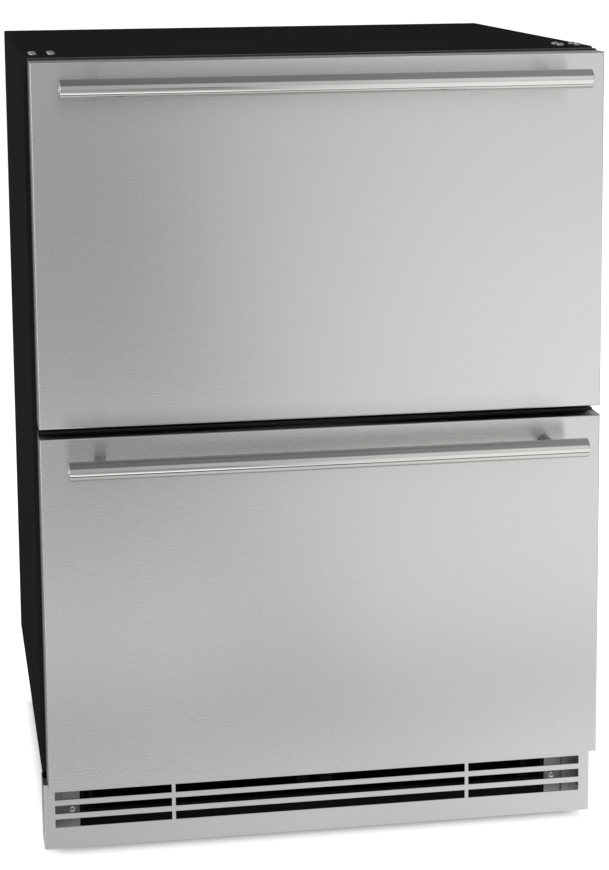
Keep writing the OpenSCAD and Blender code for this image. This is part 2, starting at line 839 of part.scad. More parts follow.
// Rubber mounts: a tapered foot under the plate, a neck through it and a collar on top
module compressor_mounts() {
  collar_h = 2.5;
  color(dark) at_compressor_mounts() {
    translate([0, 0, -grommet_h]) cylinder(h = grommet_h, r1 = grommet_neck_r + 7, r2 = grommet_neck_r + 5.5);
    translate([0, 0, -grommet_h]) cylinder(h = grommet_h + comp_plate_t + collar_h, r = grommet_neck_r);
    translate([0, 0, comp_plate_t]) cylinder(h = collar_h, r = grommet_neck_r + 3);
  }
}

// Plastic cover over the compressor's terminals
module relay_box() {
  r = comp_d / 2;
  x0 = -comp_x + 0.55 * r;
  box_l = 48;
  box_h = 52;
  half = 26;
  z0 = comp_plate_z + 45;
  color(dark) difference() {
    translate([0, 0, z0]) linear_extrude(box_h) round_rect(x0, x0 + box_l, comp_y - half, comp_y + half, 5);
    translate([-comp_x, comp_y, z0 - cut]) cylinder(h = box_h + 2 * cut, r = r + 0.05);
  }
}

module pipe(points, r) {
  for (i = [0:len(points) - 2]) {
    a = points[i];
    b = points[i + 1];
    v = b - a;
    l = norm(v);
    translate(a) rotate([0, acos(v[2] / l), atan2(v[1], v[0])]) cylinder(h = l, r = r);
  }
  for (i = [1:len(points) - 2]) translate(points[i]) sphere(r);
}

// Suction line into the foam, hot line to the condenser, and the drier on the way back
module refrigerant_lines() {
  stub_z = comp_shell_z + comp_h + stub_rise;
  roof = tunnel_top - pipe_drop;
  hot = pipe_stubs[1];
  hot_x = -comp_x + hot[0];
  hot_y = comp_y + hot[1];
  coil_y = cond_y + cond_d / 2;
  drier_y = outlet_y + 12;
  drier_z = cond_z + cond_h + drier_gap;
  color(copper) {
    pipe([[suction_x, suction_y, stub_z], [suction_x, suction_y, tunnel_top + sheet]], pipe_stubs[0][2]);
    pipe([[hot_x, hot_y, stub_z], [hot_x, hot_y, roof], [cond_mid_x, hot_y, roof],
      [cond_mid_x, coil_y, roof], [cond_mid_x, coil_y, cond_z + cond_h]], hot[2]);
    pipe([[outlet_x, drier_y, drier_z], [outlet_x, outlet_y, drier_z], [outlet_x, outlet_y, tunnel_top + sheet]],
      outlet_r);
    rod_y(outlet_x, drier_y, drier_y + drier_l, drier_z, drier_r);
  }
}

module drip_tray() {
  color(black) difference() {
    round_block(tray_x, tray_y0, tray_y1, pan_z, pan_z + tray_h, tray_r);
    round_block(tray_x - tray_wall, tray_y0 + tray_wall, tray_y1 - tray_wall, pan_z + tray_wall,
      pan_z + tray_h + cut, tray_r - tray_wall);
  }
}

module drain_tube() {
  z0 = pan_z + drain_drop;
  z1 = floor_z - liner_t;
  color(dark) translate([0, drain_y, z0]) difference() {
    cylinder(h = z1 - z0, r = drain_r);
    translate([0, 0, -cut]) cylinder(h = z1 - z0 + 2 * cut, r = drain_r - drain_wall);
  }
}

// Serpentine tube through a stack of plate fins: fins across X, tubes one above the other.
// The two end fins are thicker and reach back to the wall at seat_y.
module coil(x0, w, y0, d, z0, h, rows, seat_y) {
  r = 4;
  pitch = h / rows;
  inset = 14;
  fin_t = 0.6;
  end_t = 2;
  fin_pitch = (w - 2 * inset) / (fin_count - 1);
  y = y0 + d / 2;
  bend_left = x0 + inset / 2 + r;
  bend_right = x0 + w - inset / 2 - r;
  for (x = [x0 + inset, x0 + w - inset]) block(x - end_t / 2, x + end_t / 2, y0, seat_y, z0, z0 + h);
  for (i = [1:fin_count - 2]) translate([x0 + inset + i * fin_pitch, 0, 0])
    block(-fin_t / 2, fin_t / 2, y0, y0 + d, z0, z0 + h);
  for (i = [0:rows - 1]) rod_x(bend_left, bend_right, y, z0 + pitch * (i + 0.5), r);
  for (i = [0:rows - 2]) {
    left = i % 2 == 1;
    translate([left ? bend_left : bend_right, y, z0 + pitch * (i + 1)]) rotate([90, 0, 0])
      rotate([0, 0, left ? 90 : -90]) rotate_extrude(angle = 180) translate([pitch / 2, 0]) circle(r, $fn = 32);
  }
}

module condenser_coil() {
  color(aluminium) coil(cond_x, cond_w, cond_y, cond_d, cond_z, cond_h, cond_rows, shroud_y);
}

// Sheet panel with a rolled fan ring and a motor bridge
module condenser_shroud() {
  ring_r = cond_fan_d / 2 + 4;
  ring_t = 2;
  plate_t = 1.5;
  foot_w = 14;
  arm_w = 8;
  arm_t = 3;
  color(dark) difference() {
    union() {
      block(cond_x, cond_x + cond_w, shroud_y, shroud_y + plate_t, pan_z, cond_z + cond_h);
      block(cond_x, cond_x + cond_w, shroud_y, shroud_y + foot_w, pan_z, pan_z + plate_t);
      difference() {
        rod_y(cond_mid_x, shroud_y, shroud_y + ring_d, cond_mid_z, ring_r + ring_t);
        rod_y(cond_mid_x, shroud_y - cut, shroud_y + ring_d + cut, cond_mid_z, ring_r);
      }
      for (a = [45:90:315]) translate([cond_mid_x, 0, cond_mid_z]) rotate([0, a, 0]) {
        block(-arm_w / 2, arm_w / 2, cond_motor_y - arm_t, cond_motor_y, 0, ring_r + ring_t);
        block(-arm_w / 2, arm_w / 2, shroud_y, cond_motor_y, ring_r, ring_r + ring_t);
      }
    }
    rod_y(cond_mid_x, shroud_y - cut, shroud_y + plate_t + cut, cond_mid_z, ring_r);
    rod_y(cond_mid_x, cond_motor_y - arm_t - cut, cond_motor_y + cut, cond_mid_z, nose_r + 0.1);
  }
}

// Fan motor behind y0: a round body, a bearing nose and a shaft that reaches forward
module fan_motor(x, y0, l, z, r, reach) {
  rod_y(x, y0, y0 + l, z, r);
  rod_y(x, y0 - nose_l, y0 + 1, z, nose_r);
  rod_y(x, y0 - reach, y0, z, shaft_d / 2);
}

module condenser_motor() {
  reach = cond_motor_y - shroud_y - fan_gap / 2;
  color(galvanised) fan_motor(cond_mid_x, cond_motor_y, cond_motor_l, cond_mid_z, cond_motor_r, reach);
}

// Axial fan about Y: a hub with a bore and cambered, swept blades
module axial_fan(x, y0, z, tip_r, hub_r, hub_l, blades, chord) {
  camber_r = 1.6 * chord;
  blade_t = 1.6;
  pitch = 28;
  translate([x, y0, z]) rotate([-90, 0, 0]) difference() {
    union() {
      rotate_extrude() {
        square([hub_r, hub_l - 3]);
        square([hub_r - 3, hub_l]);
        translate([hub_r - 3, hub_l - 3]) intersection() {
          circle(3);
          square(3);
        }
      }
      for (i = [0:blades - 1]) rotate([0, 0, i * 360 / blades]) intersection() {
        translate([0, 0, hub_l / 2]) rotate([pitch, 0, 0]) along_x(hub_r - 1.5, tip_r)
          intersection() {
            translate([0, -camber_r + 2]) difference() {
              circle(camber_r + blade_t / 2, $fn = 96);
              circle(camber_r - blade_t / 2, $fn = 96);
            }
            square([chord, hub_l * 2], center = true);
          }
        linear_extrude(hub_l) intersection() {
          circle(tip_r);
          translate([tip_r * 0.45, 0]) circle(tip_r * 0.62);
        }
      }
    }
    translate([0, 0, -cut]) cylinder(h = hub_l + 2 * cut, d = shaft_d + 2 * shaft_play);
  }
}

module condenser_fan() {
  color(dark) axial_fan(cond_mid_x, shroud_y + fan_gap, cond_mid_z, cond_fan_d / 2, cond_hub_r, cond_hub_l,
    blade_count, cond_chord);
}

module evaporator_coil() {
  color(aluminium) coil(-evap_w / 2, evap_w, evap_coil_y, evap_coil_d, evap_coil_z, evap_h, evap_rows, rear_y);
}

// White cover over the evaporator: inlet slots below and a round finger guard in front of the fan
module evaporator_cover() {
  wall = 2;
  half = evap_cover_w / 2;
  rings = 4;
  wire = 2;
  hub_r = 6;
  ring_pitch = (evap_fan_d / 2 + 3 - hub_r) / rings;
  r = 6;
  slot_w = 30;
  vent_h = 6;
  pitch_x = 42;
  pitch_z = 16;
  color(white_liner) difference() {
    along_x(-half, half) round_rect(evap_y, rear_y + 2 * r, evap_cover_z, evap_cover_top, r);
    along_x(-half + wall, half - wall)
      round_rect(evap_y + wall, rear_y + 3 * r, evap_cover_z + wall, evap_cover_top - wall, r - wall);
    block(-half - cut, half + cut, rear_y, rear_y + 3 * r, evap_cover_z - cut, evap_cover_top + cut);
    translate([0, 0, evap_fan_z]) for (i = [0:rings - 1]) difference() {
      rod_y(0, evap_y - cut, evap_y + wall + cut, 0, hub_r + (i + 1) * ring_pitch - (i == rings - 1 ? 0 : wire));
      rod_y(0, evap_y - 2 * cut, evap_y + wall + 2 * cut, 0, hub_r + i * ring_pitch);
      for (a = [0:60:120]) rotate([0, a, 0])
        block(-wire / 2, wire / 2, evap_y - 2 * cut, evap_y + wall + 2 * cut, -evap_fan_d, evap_fan_d);
    }
    for (i = [0:3], j = [-4:4])
      translate([j * pitch_x, evap_y, evap_cover_z + 22 + i * pitch_z]) along_y(-cut, wall + cut)
        round_rect(-slot_w / 2, slot_w / 2, -vent_h / 2, vent_h / 2, vent_h / 2 - 0.1);
  }
}

module evaporator_motor() {
  strap_x = 50;
  strap_t = 2;
  strap_h = 16;
  color(galvanised) {
    fan_motor(0, rear_y - evap_motor_l, evap_motor_l, evap_fan_z, evap_motor_r, evap_shaft_l);
    block(-strap_x, strap_x, rear_y - strap_t, rear_y, evap_fan_z - strap_h / 2, evap_fan_z + strap_h / 2);
  }
}

module evaporator_fan() {
  color(dark) axial_fan(0, evap_fan_y, evap_fan_z, evap_fan_d / 2, evap_hub_r, evap_hub_l, evap_blades, evap_chord);
}

// Housing under the ceiling, with two round key wells and a recess for the light's lens
module control_housing() {
  play = hole_play;
  color(dark) difference() {
    round_block(control_x, control_y, lens_y1 + lens_edge, control_z, ceiling_z, control_r);
    round_block(lens_x + play, lens_y0 - play, lens_y1 + play, control_z - cut, control_z + lens_t, lens_r);
    for (x = [-key_x, key_x]) translate([x, key_y, control_z - cut]) cylinder(h = key_t + cut, r = key_r);
  }
}

module light_lens() {
  color(lens_white) round_block(lens_x, lens_y0, lens_y1, control_z, control_z + lens_t, lens_r);
}

// --- Drawer slides: three nested channels with rows of balls between their flanges ---
// The sections are drawn in X and Z with x = 0 on the liner and x growing towards the bin.

ball_r = ball_d / 2;
v0 = slide_h / 2 - slide_wall;
v1 = v0 - ball_d;
v2 = v1 - slide_wall;
v3 = v2 - ball_d;
web_gap = 1;
u_mid = slide_wall + web_gap;
u_inner = slide_t - slide_wall;
u_end = u_inner - 0.7;
u_back = u_mid + slide_wall + web_gap;
u_outer_ball = (u_mid + u_end) / 2;
u_inner_ball = (u_back + u_end) / 2;

module channel(u_web, u_far, v_out) {
  lo = min(u_web, u_far);
  translate([u_web, -v_out]) square([slide_wall, 2 * v_out]);
  for (v = [-v_out, v_out - slide_wall]) translate([lo, v])
    square([abs(u_far - u_web) + (u_far < u_web ? slide_wall : 0), slide_wall]);
}

module tracks() {
  for (s = [-1, 1]) {
    translate([u_outer_ball, s * (v0 - ball_r)]) circle(ball_r + ball_play);
    translate([u_inner_ball, s * (v2 - ball_r)]) circle(ball_r + ball_play);
  }
}

// Puts a section or a row of balls at both side walls
module at_walls(z) {
  both_sides() translate([room_x, 0, z]) mirror([1, 0, 0]) children();
}

module slide_member(z, y0, y1, u_web, u_far, v_out) {
  at_walls(z) along_y(y0, y1) difference() {
    channel(u_web, u_far, v_out);
    tracks();
  }
}

module fixed_slides() {
  color(galvanised) {
    slide_member(upper_rail_z, rail_y, upper_bin_y, 0, u_end, v0 + slide_wall);
    slide_member(lower_rail_z, rail_y, lower_bin_y, 0, u_end, v0 + slide_wall);
  }
}

module upper_mid_slides() {
  color(galvanised) slide_member(upper_rail_z, rail_y, upper_bin_y, u_mid, u_end, v1);
}

module lower_mid_slides() {
  color(galvanised) slide_member(lower_rail_z, rail_y, lower_bin_y, u_mid, u_end, v1);
}

// Outer rows stay in the fixed member and inner rows in the drawer member over the whole travel
module ball_rows(z, y1, travel) {
  edge = 8;
  l = y1 - rail_y - travel / 2 - 2 * edge;
  step = l / (ball_count - 1);
  at_walls(z) for (s = [-1, 1], i = [0:ball_count - 1]) {
    translate([u_outer_ball, y1 - edge - i * step, s * (v0 - ball_r)]) sphere(ball_r, $fn = 24);
    translate([u_inner_ball, rail_y + edge + i * step, s * (v2 - ball_r)]) sphere(ball_r, $fn = 24);
  }
}

module upper_slide_balls() {
  color(polished) ball_rows(upper_rail_z, upper_bin_y, upper_travel);
}

module lower_slide_balls() {
  color(polished) ball_rows(lower_rail_z, lower_bin_y, lower_travel);
}

// The drawer member, and the angle bracket that ties it to the drawer front
module drawer_slides(z, y1) {
  leg_y = rail_y - 1.5;
  leg_h = v3 - slide_wall - rest_gap;
  foot_h = 30;
  foot_w = 22;
  slide_member(z, panel_y + bracket_t, y1, u_inner, u_back, v3);
  both_sides() {
    block(bin_x, bin_x + foot_w, panel_y, panel_y + bracket_t, z - foot_h, z + foot_h);
    block(bin_x + slide_wall, bin_x + slide_wall + bracket_t, panel_y, leg_y, z - leg_h, z + leg_h);
  }
}

module upper_drawer_slides() {
  color(galvanised) drawer_slides(upper_rail_z, upper_bin_y);
}

module lower_drawer_slides() {
  color(galvanised) drawer_slides(lower_rail_z, lower_bin_y);
}

// --- Drawer fronts ---

module at_posts(z) {
  both_sides() translate([post_x, 0, z + front_h - bar_drop]) children();
}

// Block with its front edges rounded in plan and in side view
module folded_block(x, y0, y1, z0, z1, r) {
  intersection() {
    translate([0, 0, z0]) linear_extrude(z1 - z0) round_rect(-x, x, y0, y1 + 2 * r, r);
    along_x(-x, x) round_rect(y0, y1 + 2 * r, z0, z1, r);
    block(-x, x, y0, y1, z0, z1);
  }
}

module drawer_skin(z) {
  t = skin_t;
  difference() {
    folded_block(front_x, face_y, skin_y, z, z + front_h, bend_r);
    folded_block(front_x - t, face_y + t, skin_y + cut, z + t, z + front_h - t, bend_r - t);
    at_posts(z) translate([0, face_y, 0]) rotate([90, 0, 0])
      cylinder(h = 4 * t, d = handle_screw_d + 2 * hole_play, center = true);
  }
}

module drawer_panel(z) {
  wall = 3 * panel_t;
  top = z + front_h + panel_rise;
  difference() {
    block(-front_x, front_x, skin_y, panel_y, z, top);
    block(-front_x + wall, front_x - wall, skin_y - cut, panel_y - panel_t, z + wall, top - wall);
  }
}

module drawer_core(z) {
  wall = 3 * panel_t;
  top = z + front_h + panel_rise;
  t = skin_t;
  head = 5;
  difference() {
    union() {
      folded_block(front_x - t, face_y + t, skin_y, z + t, z + front_h - t, bend_r - t);
      block(-front_x + wall, front_x - wall, skin_y - cut, panel_y - panel_t, z + wall, top - wall);
    }
    at_posts(z) translate([0, face_y + t, 0]) rotate([-90, 0, 0]) cylinder(h = head, d = 2.4 * handle_screw_d);
  }
}

// Bellows gasket: a seat, a narrow neck and a magnet strip, as rings of three widths
module drawer_gasket(z) {
  x = front_x - gasket_inset;
  z0 = z + gasket_inset;
  z1 = z + front_h - gasket_inset;
  seat = gasket_d * 0.28;
  neck = gasket_d * 0.34;
  pinch = 3;
  difference() {
    along_y(panel_y, panel_y + gasket_d) round_rect(-x, x, z0, z1, 4);
    along_y(panel_y - cut, panel_y + gasket_d + cut)
      round_rect(-x + gasket_w, x - gasket_w, z0 + gasket_w, z1 - gasket_w, 4);
    along_y(panel_y + seat, panel_y + seat + neck) difference() {
      round_rect(-x - cut, x + cut, z0 - cut, z1 + cut, 4);
      round_rect(-x + pinch, x - pinch, z0 + pinch, z1 - pinch, 4);
    }
    along_y(panel_y + seat, panel_y + seat + neck)
      round_rect(-x + gasket_w - pinch, x - gasket_w + pinch, z0 + gasket_w - pinch, z1 - gasket_w + pinch, 4);
  }
}

// Tube with chamfered end caps, as one turned piece with a hollow middle
module drawer_handle(z) {
  r = bar_d / 2;
  c = bar_chamfer;
  translate([0, face_y - bar_out, z + front_h - bar_drop]) rotate([0, 90, 0]) rotate_extrude()
    difference() {
      polygon([[0, -bar_x], [r - c, -bar_x], [r, -bar_x + c], [r, bar_x - c], [r - c, bar_x], [0, bar_x]]);
      polygon([[0, cap_t - bar_x], [r - bar_wall, cap_t - bar_x], [r - bar_wall, bar_x - cap_t], [0, bar_x - cap_t]]);
    }
}

// Round posts with saddle ends, and the screws that come through the skin into them
module drawer_posts(z) {
  difference() {
    at_posts(z) translate([0, face_y, 0]) rotate([90, 0, 0]) cylinder(h = bar_out, d = post_d);
    rod_x(-front_x, front_x, face_y - bar_out, z + front_h - bar_drop, bar_d / 2);
  }
  at_posts(z) translate([0, face_y + skin_t, 0]) rotate([-90, 0, 0]) {
    cylinder(h = 3, d = 2 * handle_screw_d);
    translate([0, 0, -skin_t]) cylinder(h = skin_t, d = handle_screw_d);
  }
}

module drawer_bin(z0, z1, y1) {
  t = bin_t;
  far = y1 + rim_w;
  rib_edge = 50;
  rib_end = 30;
  rib_pitch = 2 * (bin_x - rib_edge) / (rib_count - 1);
  difference() {
    union() {
      round_block(bin_x, panel_y, y1, z0, z1, bin_r);
      difference() {
        round_block(bin_x + rim_w, panel_y, far, z1 - rim_h, z1, bin_r + rim_w);
        round_block(bin_x + rim_w - t, panel_y + t, far - t, z1 - rim_h - cut, z1 - t, bin_r + rim_w - t);
      }
    }
    difference() {
      round_block(bin_x - t, panel_y + t, y1 - t, z0 + t, z1 + cut, bin_r - t);
      for (i = [0:rib_count - 1])
        rod_y(-bin_x + rib_edge + i * rib_pitch, panel_y + rib_end, y1 - rib_end, z0 + t / 2, rib_r);
    }
  }
}

module upper_skin() color(stainless) drawer_skin(upper_z);
module upper_core() color(foam) drawer_core(upper_z);
module upper_panel() color(dark) drawer_panel(upper_z);
module upper_gasket() color(black) drawer_gasket(upper_z);
module upper_handle() color(polished) drawer_handle(upper_z);
module upper_posts() color(polished) drawer_posts(upper_z);
module upper_bin() color(bin_steel) drawer_bin(upper_bin_z, upper_bin_top, upper_bin_y);

module lower_skin() color(stainless) drawer_skin(lower_z);
module lower_core() color(foam) drawer_core(lower_z);
module lower_panel() color(dark) drawer_panel(lower_z);
module lower_gasket() color(black) drawer_gasket(lower_z);
module lower_handle() color(polished) drawer_handle(lower_z);
module lower_posts() color(polished) drawer_posts(lower_z);
module lower_bin() color(bin_steel) drawer_bin(lower_bin_z, lower_bin_top, lower_bin_y);

outer_wrapper();
back_panel();
bottom_panel();
machine_tunnel();
foam_insulation();
inner_liner();
face_frame();
crossbar();
top_corner_plates();
top_screws();
rear_cover();
back_screws();
base_pan();
cord_gland();
weld_nuts();
toe_grille();
grille_brackets();
bracket_screws();
centre_hanger();
front_left_foot();
front_right_foot();
rear_left_foot();
rear_right_foot();
compressor();
compressor_mounts();
relay_box();
refrigerant_lines();
drip_tray();
drain_tube();
condenser_coil();
condenser_shroud();
condenser_motor();
condenser_fan();
evaporator_coil();
evaporator_cover();
evaporator_motor();
evaporator_fan();
control_housing();
light_lens();
fixed_slides();
upper_mid_slides();
upper_slide_balls();
lower_mid_slides();
lower_slide_balls();
upper_skin();
upper_core();
upper_panel();
upper_gasket();
upper_handle();
upper_posts();
upper_bin();
upper_drawer_slides();
lower_skin();
lower_core();
lower_panel();
lower_gasket();
lower_handle();
lower_posts();
lower_bin();
lower_drawer_slides();
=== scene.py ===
# %% [markdown]
# # An undercounter refrigerator with two drawers
# The refrigerator is a black steel box with two folded stainless fronts, a round bar handle on each and
# a slotted toe grille. Its solids come from a CAD model that is already packed as a fixed frame. This
# file loads that frame, builds the pieces that need a finer surface than the solids have, and gives
# every piece the finish of the real one.

# %% Load the fixed frame
import json
import math

import bmesh
import bpy
from mathutils import Matrix, Vector


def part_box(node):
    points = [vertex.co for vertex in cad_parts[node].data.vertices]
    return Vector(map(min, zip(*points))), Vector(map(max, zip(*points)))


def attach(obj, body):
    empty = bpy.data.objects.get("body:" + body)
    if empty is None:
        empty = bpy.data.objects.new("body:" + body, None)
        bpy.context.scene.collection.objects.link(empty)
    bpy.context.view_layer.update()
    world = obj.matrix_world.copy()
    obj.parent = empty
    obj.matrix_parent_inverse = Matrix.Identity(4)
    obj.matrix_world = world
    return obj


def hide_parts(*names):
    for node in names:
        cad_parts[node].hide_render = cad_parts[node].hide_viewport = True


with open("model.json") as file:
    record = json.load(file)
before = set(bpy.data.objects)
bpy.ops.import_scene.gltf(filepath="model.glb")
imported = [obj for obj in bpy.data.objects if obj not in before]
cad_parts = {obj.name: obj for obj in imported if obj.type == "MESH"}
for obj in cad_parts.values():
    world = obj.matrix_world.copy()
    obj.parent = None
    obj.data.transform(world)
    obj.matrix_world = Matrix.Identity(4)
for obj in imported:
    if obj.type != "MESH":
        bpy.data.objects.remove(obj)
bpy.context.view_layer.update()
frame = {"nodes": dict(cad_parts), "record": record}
mm = 0.001

# %% [markdown]
# ## Helpers for finishes
# A colour is written the way a paint chip or a screen shows it, as an sRGB hex value, and Blender wants
# it in linear light. One function turns one into the other. A second one adds a node to a tree with its
# settings and its links, so that each recipe below reads like a list of what goes into what. On most
# surfaces one pattern changes the colour and the gloss together, and a third function links both.


# %% Colour and node helpers
def linear(hex_colour):
    """Linear RGBA of an sRGB hex colour such as '#c8c6c2'."""
    parts = [int(hex_colour[i : i + 2], 16) / 255 for i in (1, 3, 5)]
    return [p / 12.92 if p <= 0.04045 else ((p + 0.055) / 1.055) ** 2.4 for p in parts] + [1.0]


def add(tree, kind, inputs=None, stops=(), **settings):
    """Adds a node. Inputs are values, or another node's output socket to link from.
    Stops of a colour ramp are pairs of a position and an RGBA colour."""
    made = tree.nodes.new(kind)
    for key, value in settings.items():
        setattr(made, key, value)
    for key, value in (inputs or {}).items():
        if isinstance(value, bpy.types.NodeSocket):
            tree.links.new(value, made.inputs[key])
        else:
            made.inputs[key].default_value = value
    if stops:
        elements = made.color_ramp.elements
        while len(elements) < len(stops):
            elements.new(0.5)
        for element, (position, colour) in zip(elements, stops):
            element.position, element.color = position, colour
    return made


def new_finish(name, **shader_values):
    """A material with a Principled shader whose plain values are set on its own sockets."""
    material = bpy.data.materials.new(name)
    material.use_nodes = True
    tree = material.node_tree
    tree.nodes.clear()
    shader = add(tree, "ShaderNodeBsdfPrincipled")
    for key, value in shader_values.items():
        shader.inputs[key.replace("_", " ")].default_value = value
    add(tree, "ShaderNodeOutputMaterial", {"Surface": shader.outputs["BSDF"]})
    where = add(tree, "ShaderNodeTexCoord").outputs["Object"]
    return material, tree, shader, where


def vary(tree, shader, colour_by, hex_stops, gloss_by, roughness, play):
    """Lets a pattern drive the colour between hex stops, and one the roughness by plus or minus play."""
    stops = [(position, linear(colour)) for position, colour in hex_stops]
    colours = add(tree, "ShaderNodeValToRGB", {"Fac": colour_by}, stops)
    spread = {"Value": gloss_by, "To Min": roughness - play, "To Max": roughness + play}
    gloss = add(tree, "ShaderNodeMapRange", spread)
    tree.links.new(colours.outputs["Color"], shader.inputs["Base Color"])
    tree.links.new(gloss.outputs[0], shader.inputs["Roughness"])


print("finish helpers ready")

# %% [markdown]
# ## Brushed stainless steel
# The fronts and the grille are stainless sheet with a No. 4 finish: a belt has drawn fine parallel
# scratches along the sheet, from side to side here. Scratches are far finer than a pixel, so their main
# effect is that reflections smear across them, up and down the front. Anisotropy gives that smear, with
# a quarter turn because its default direction lies along X. A noise that is stretched 80 mm along X and
# 1.2 mm up adds the faint streaks that an eye picks out. Real scratches are some 0.05 mm wide, too fine
# to show in the render, so these are drawn as coarse as they need to be. The tube is polished finer than
# the sheet and mirrors sharply, and the posts are turned bar, whose marks run across them. The posts'
# grey is set far darker than the sheet's, as painted shade.


# %% Stainless finishes
def brushed_steel(name, colour, dark, roughness, anisotropy, streak_length, streak_width, along=0):
    """Brushed sheet or tube. along is the axis, 0 to 2, that the scratches run in."""
    material, tree, shader, where = new_finish(
        name, Metallic=1.0, Anisotropic=anisotropy, Anisotropic_Rotation=0.25
    )
    scale = [1 / streak_width] * 3
    scale[along] = 1 / streak_length
    stretched = add(tree, "ShaderNodeMapping", {"Vector": where, "Scale": scale})
    streaks = add(
        tree,
        "ShaderNodeTexNoise",
        {"Vector": stretched.outputs[0], "Scale": 1.0, "Detail": 4.0, "Roughness": 0.6},
    ).outputs["Fac"]
    clouds = add(tree, "ShaderNodeTexNoise", {"Vector": where, "Scale": 4.0, "Detail": 1.0})
    mixed = add(tree, "ShaderNodeMath", {0: streaks, 1: clouds.outputs["Fac"]}, operation="ADD")
    half = add(tree, "ShaderNodeMath", {0: mixed.outputs[0], 1: 0.5}, operation="MULTIPLY")
    vary(tree, shader, half.outputs[0], [(0.3, dark), (0.7, colour)], streaks, roughness, 0.012)
    bump = add(tree, "ShaderNodeBump", {"Height": streaks, "Strength": 0.008, "Distance": 0.02 * mm})
    tree.links.new(bump.outputs[0], shader.inputs["Normal"])
    return material


front_steel = brushed_steel("stainless_sheet_no_4", "#cac9c7", "#c8c7c5", 0.275, 0.9, 80 * mm, 1.2 * mm)
grille_steel = brushed_steel(
    "stainless_grille_sheet", "#cac9c7", "#c8c7c5", 0.29, 0.85, 80 * mm, 1.2 * mm
)
tube_steel = brushed_steel("stainless_tube_satin", "#c6c5c3", "#c3c2bf", 0.08, 0.0, 120 * mm, 0.8 * mm)
# The posts' greys are far darker than the sheet's: painted shade for the shade and dark reflections on
# them.
shaded_post_steel = brushed_steel("stainless_post_turned", "#8f8e8c", "#83827f", 0.3, 0.0, 2 * mm, 0.5 * mm, 2)
bin_steel = brushed_steel("stainless_bin_sheet", "#cfcfcf", "#c4c5c5", 0.42, 0.4, 60 * mm, 1.2 * mm)
print("stainless finishes:", front_steel.name, grille_steel.name, tube_steel.name, bin_steel.name)

# %% [markdown]
# ## Powder-coated steel
# The cabinet is sheet steel with a matt black polyester powder coat. Powder melts into a skin with a
# shallow orange peel whose bumps are 1 to 2 mm across, so highlights on it look softly broken. A noise
# at that size drives a very low bump. A matt coat also shades itself at a grazing angle: the sheen that
# a smooth surface would show there is missing, and the photographed side and top stay black. Layer
# Weight finds the grazing parts, and the specular level falls to nothing towards them.


# %% Paint finishes
def peeled_paint(name, colours, roughness, specular, coat=0.0):
    """Black paint with an orange peel 1.5 mm across and 0.02 mm deep."""
    material, tree, shader, where = new_finish(name, Coat_Weight=coat, Coat_Roughness=0.12)
    grazing = add(tree, "ShaderNodeLayerWeight", {"Blend": 0.5}).outputs["Facing"]
    fading = {"Value": grazing, "From Min": 0.5, "From Max": 0.9, "To Min": specular, "To Max": 0.0}
    sheen = add(tree, "ShaderNodeMapRange", fading)
    tree.links.new(sheen.outputs[0], shader.inputs["Specular IOR Level"])
    peel = add(tree, "ShaderNodeTexNoise", {"Vector": where, "Scale": 1 / (1.5 * mm), "Detail": 1.0})
    clouds = add(tree, "ShaderNodeTexNoise", {"Vector": where, "Scale": 9.0, "Detail": 2.0})
    cloud = clouds.outputs["Fac"]
    vary(tree, shader, cloud, [(0.3, colours[0]), (0.7, colours[1])], cloud, roughness, 0.04)
    raised = {"Height": peel.outputs["Fac"], "Strength": 0.5, "Distance": 0.02 * mm}
    bump = add(tree, "ShaderNodeBump", raised)
    tree.links.new(bump.outputs[0], shader.inputs["Normal"])
    return material


cabinet_paint = peeled_paint("black_powder_coat", ("#1f1f1f", "#212121"), 0.45, 0.15)
pan_paint = peeled_paint("black_primer", ("#0a0a0a", "#0d0d0d"), 0.65, 0.1)
compressor_paint = peeled_paint("black_enamel", ("#0d0d0d", "#111111"), 0.3, 0.5, coat=0.5)
print("paints:", cabinet_paint.name, pan_paint.name, compressor_paint.name)

# %% [markdown]
# ## Galvanised and plated steel
# Hot-dip galvanised sheet shows spangle: flat zinc crystals some 8 mm across, each a slightly different
# grey. A Voronoi texture gives cells of that kind, and its random colour per cell picks the grey and the
# gloss. Its greys are set darker than bare zinc, as painted shade for the brackets that stand in shade
# behind the toe grille, and every galvanised piece takes that darker grey. Plated screws and slides are
# smoother and brighter, and a rolled sheet such as the slides' has faint lines along it. The coils'
# aluminium fins have them too.


# %% Zinc finishes
def spangled_zinc(name, colours, roughness, crystal):
    """Zinc in flat crystals, each of its own grey and gloss between two limits."""
    material, tree, shader, where = new_finish(name, Metallic=1.0)
    cells = add(tree, "ShaderNodeTexVoronoi", {"Vector": where, "Scale": 1 / crystal})
    grey = add(tree, "ShaderNodeSeparateColor", {"Color": cells.outputs["Color"]}).outputs["Red"]
    vary(tree, shader, grey, [(0.0, colours[0]), (1.0, colours[1])], grey, roughness, 0.06)
    return material


# Greys darker than bare zinc: painted shade for the brackets that stand behind the toe grille.
shaded_galvanised = spangled_zinc("galvanised_sheet", ("#868686", "#999998"), 0.42, 8 * mm)
screw_zinc = spangled_zinc("zinc_plated_screw", ("#c3c3c3", "#cfcfce"), 0.35, 2 * mm)
slide_zinc = brushed_steel("zinc_plated_slide", "#a9adb0", "#9da1a4", 0.28, 0.3, 60 * mm, 1.0 * mm, 1)
ball_steel = spangled_zinc("bearing_steel", ("#d2d2d2", "#dadada"), 0.1, 1 * mm)
coil_aluminium = brushed_steel(
    "mill_finish_aluminium", "#b4b8bb", "#a4a8ab", 0.35, 0.2, 9 * mm, 0.8 * mm, 2
)
print("zinc and aluminium finishes ready")

# %% [markdown]
# ## Plastics, rubber, foam and copper
# The liner is vacuum-formed polystyrene sheet, white with a faint pebble. The frame, panels and fans are
# textured ABS and nylon: spark-eroded moulds leave a grain of about half a millimetre. Gaskets are soft
# PVC, and the foam is cut polyurethane. Copper pipe is bright with brown patches.


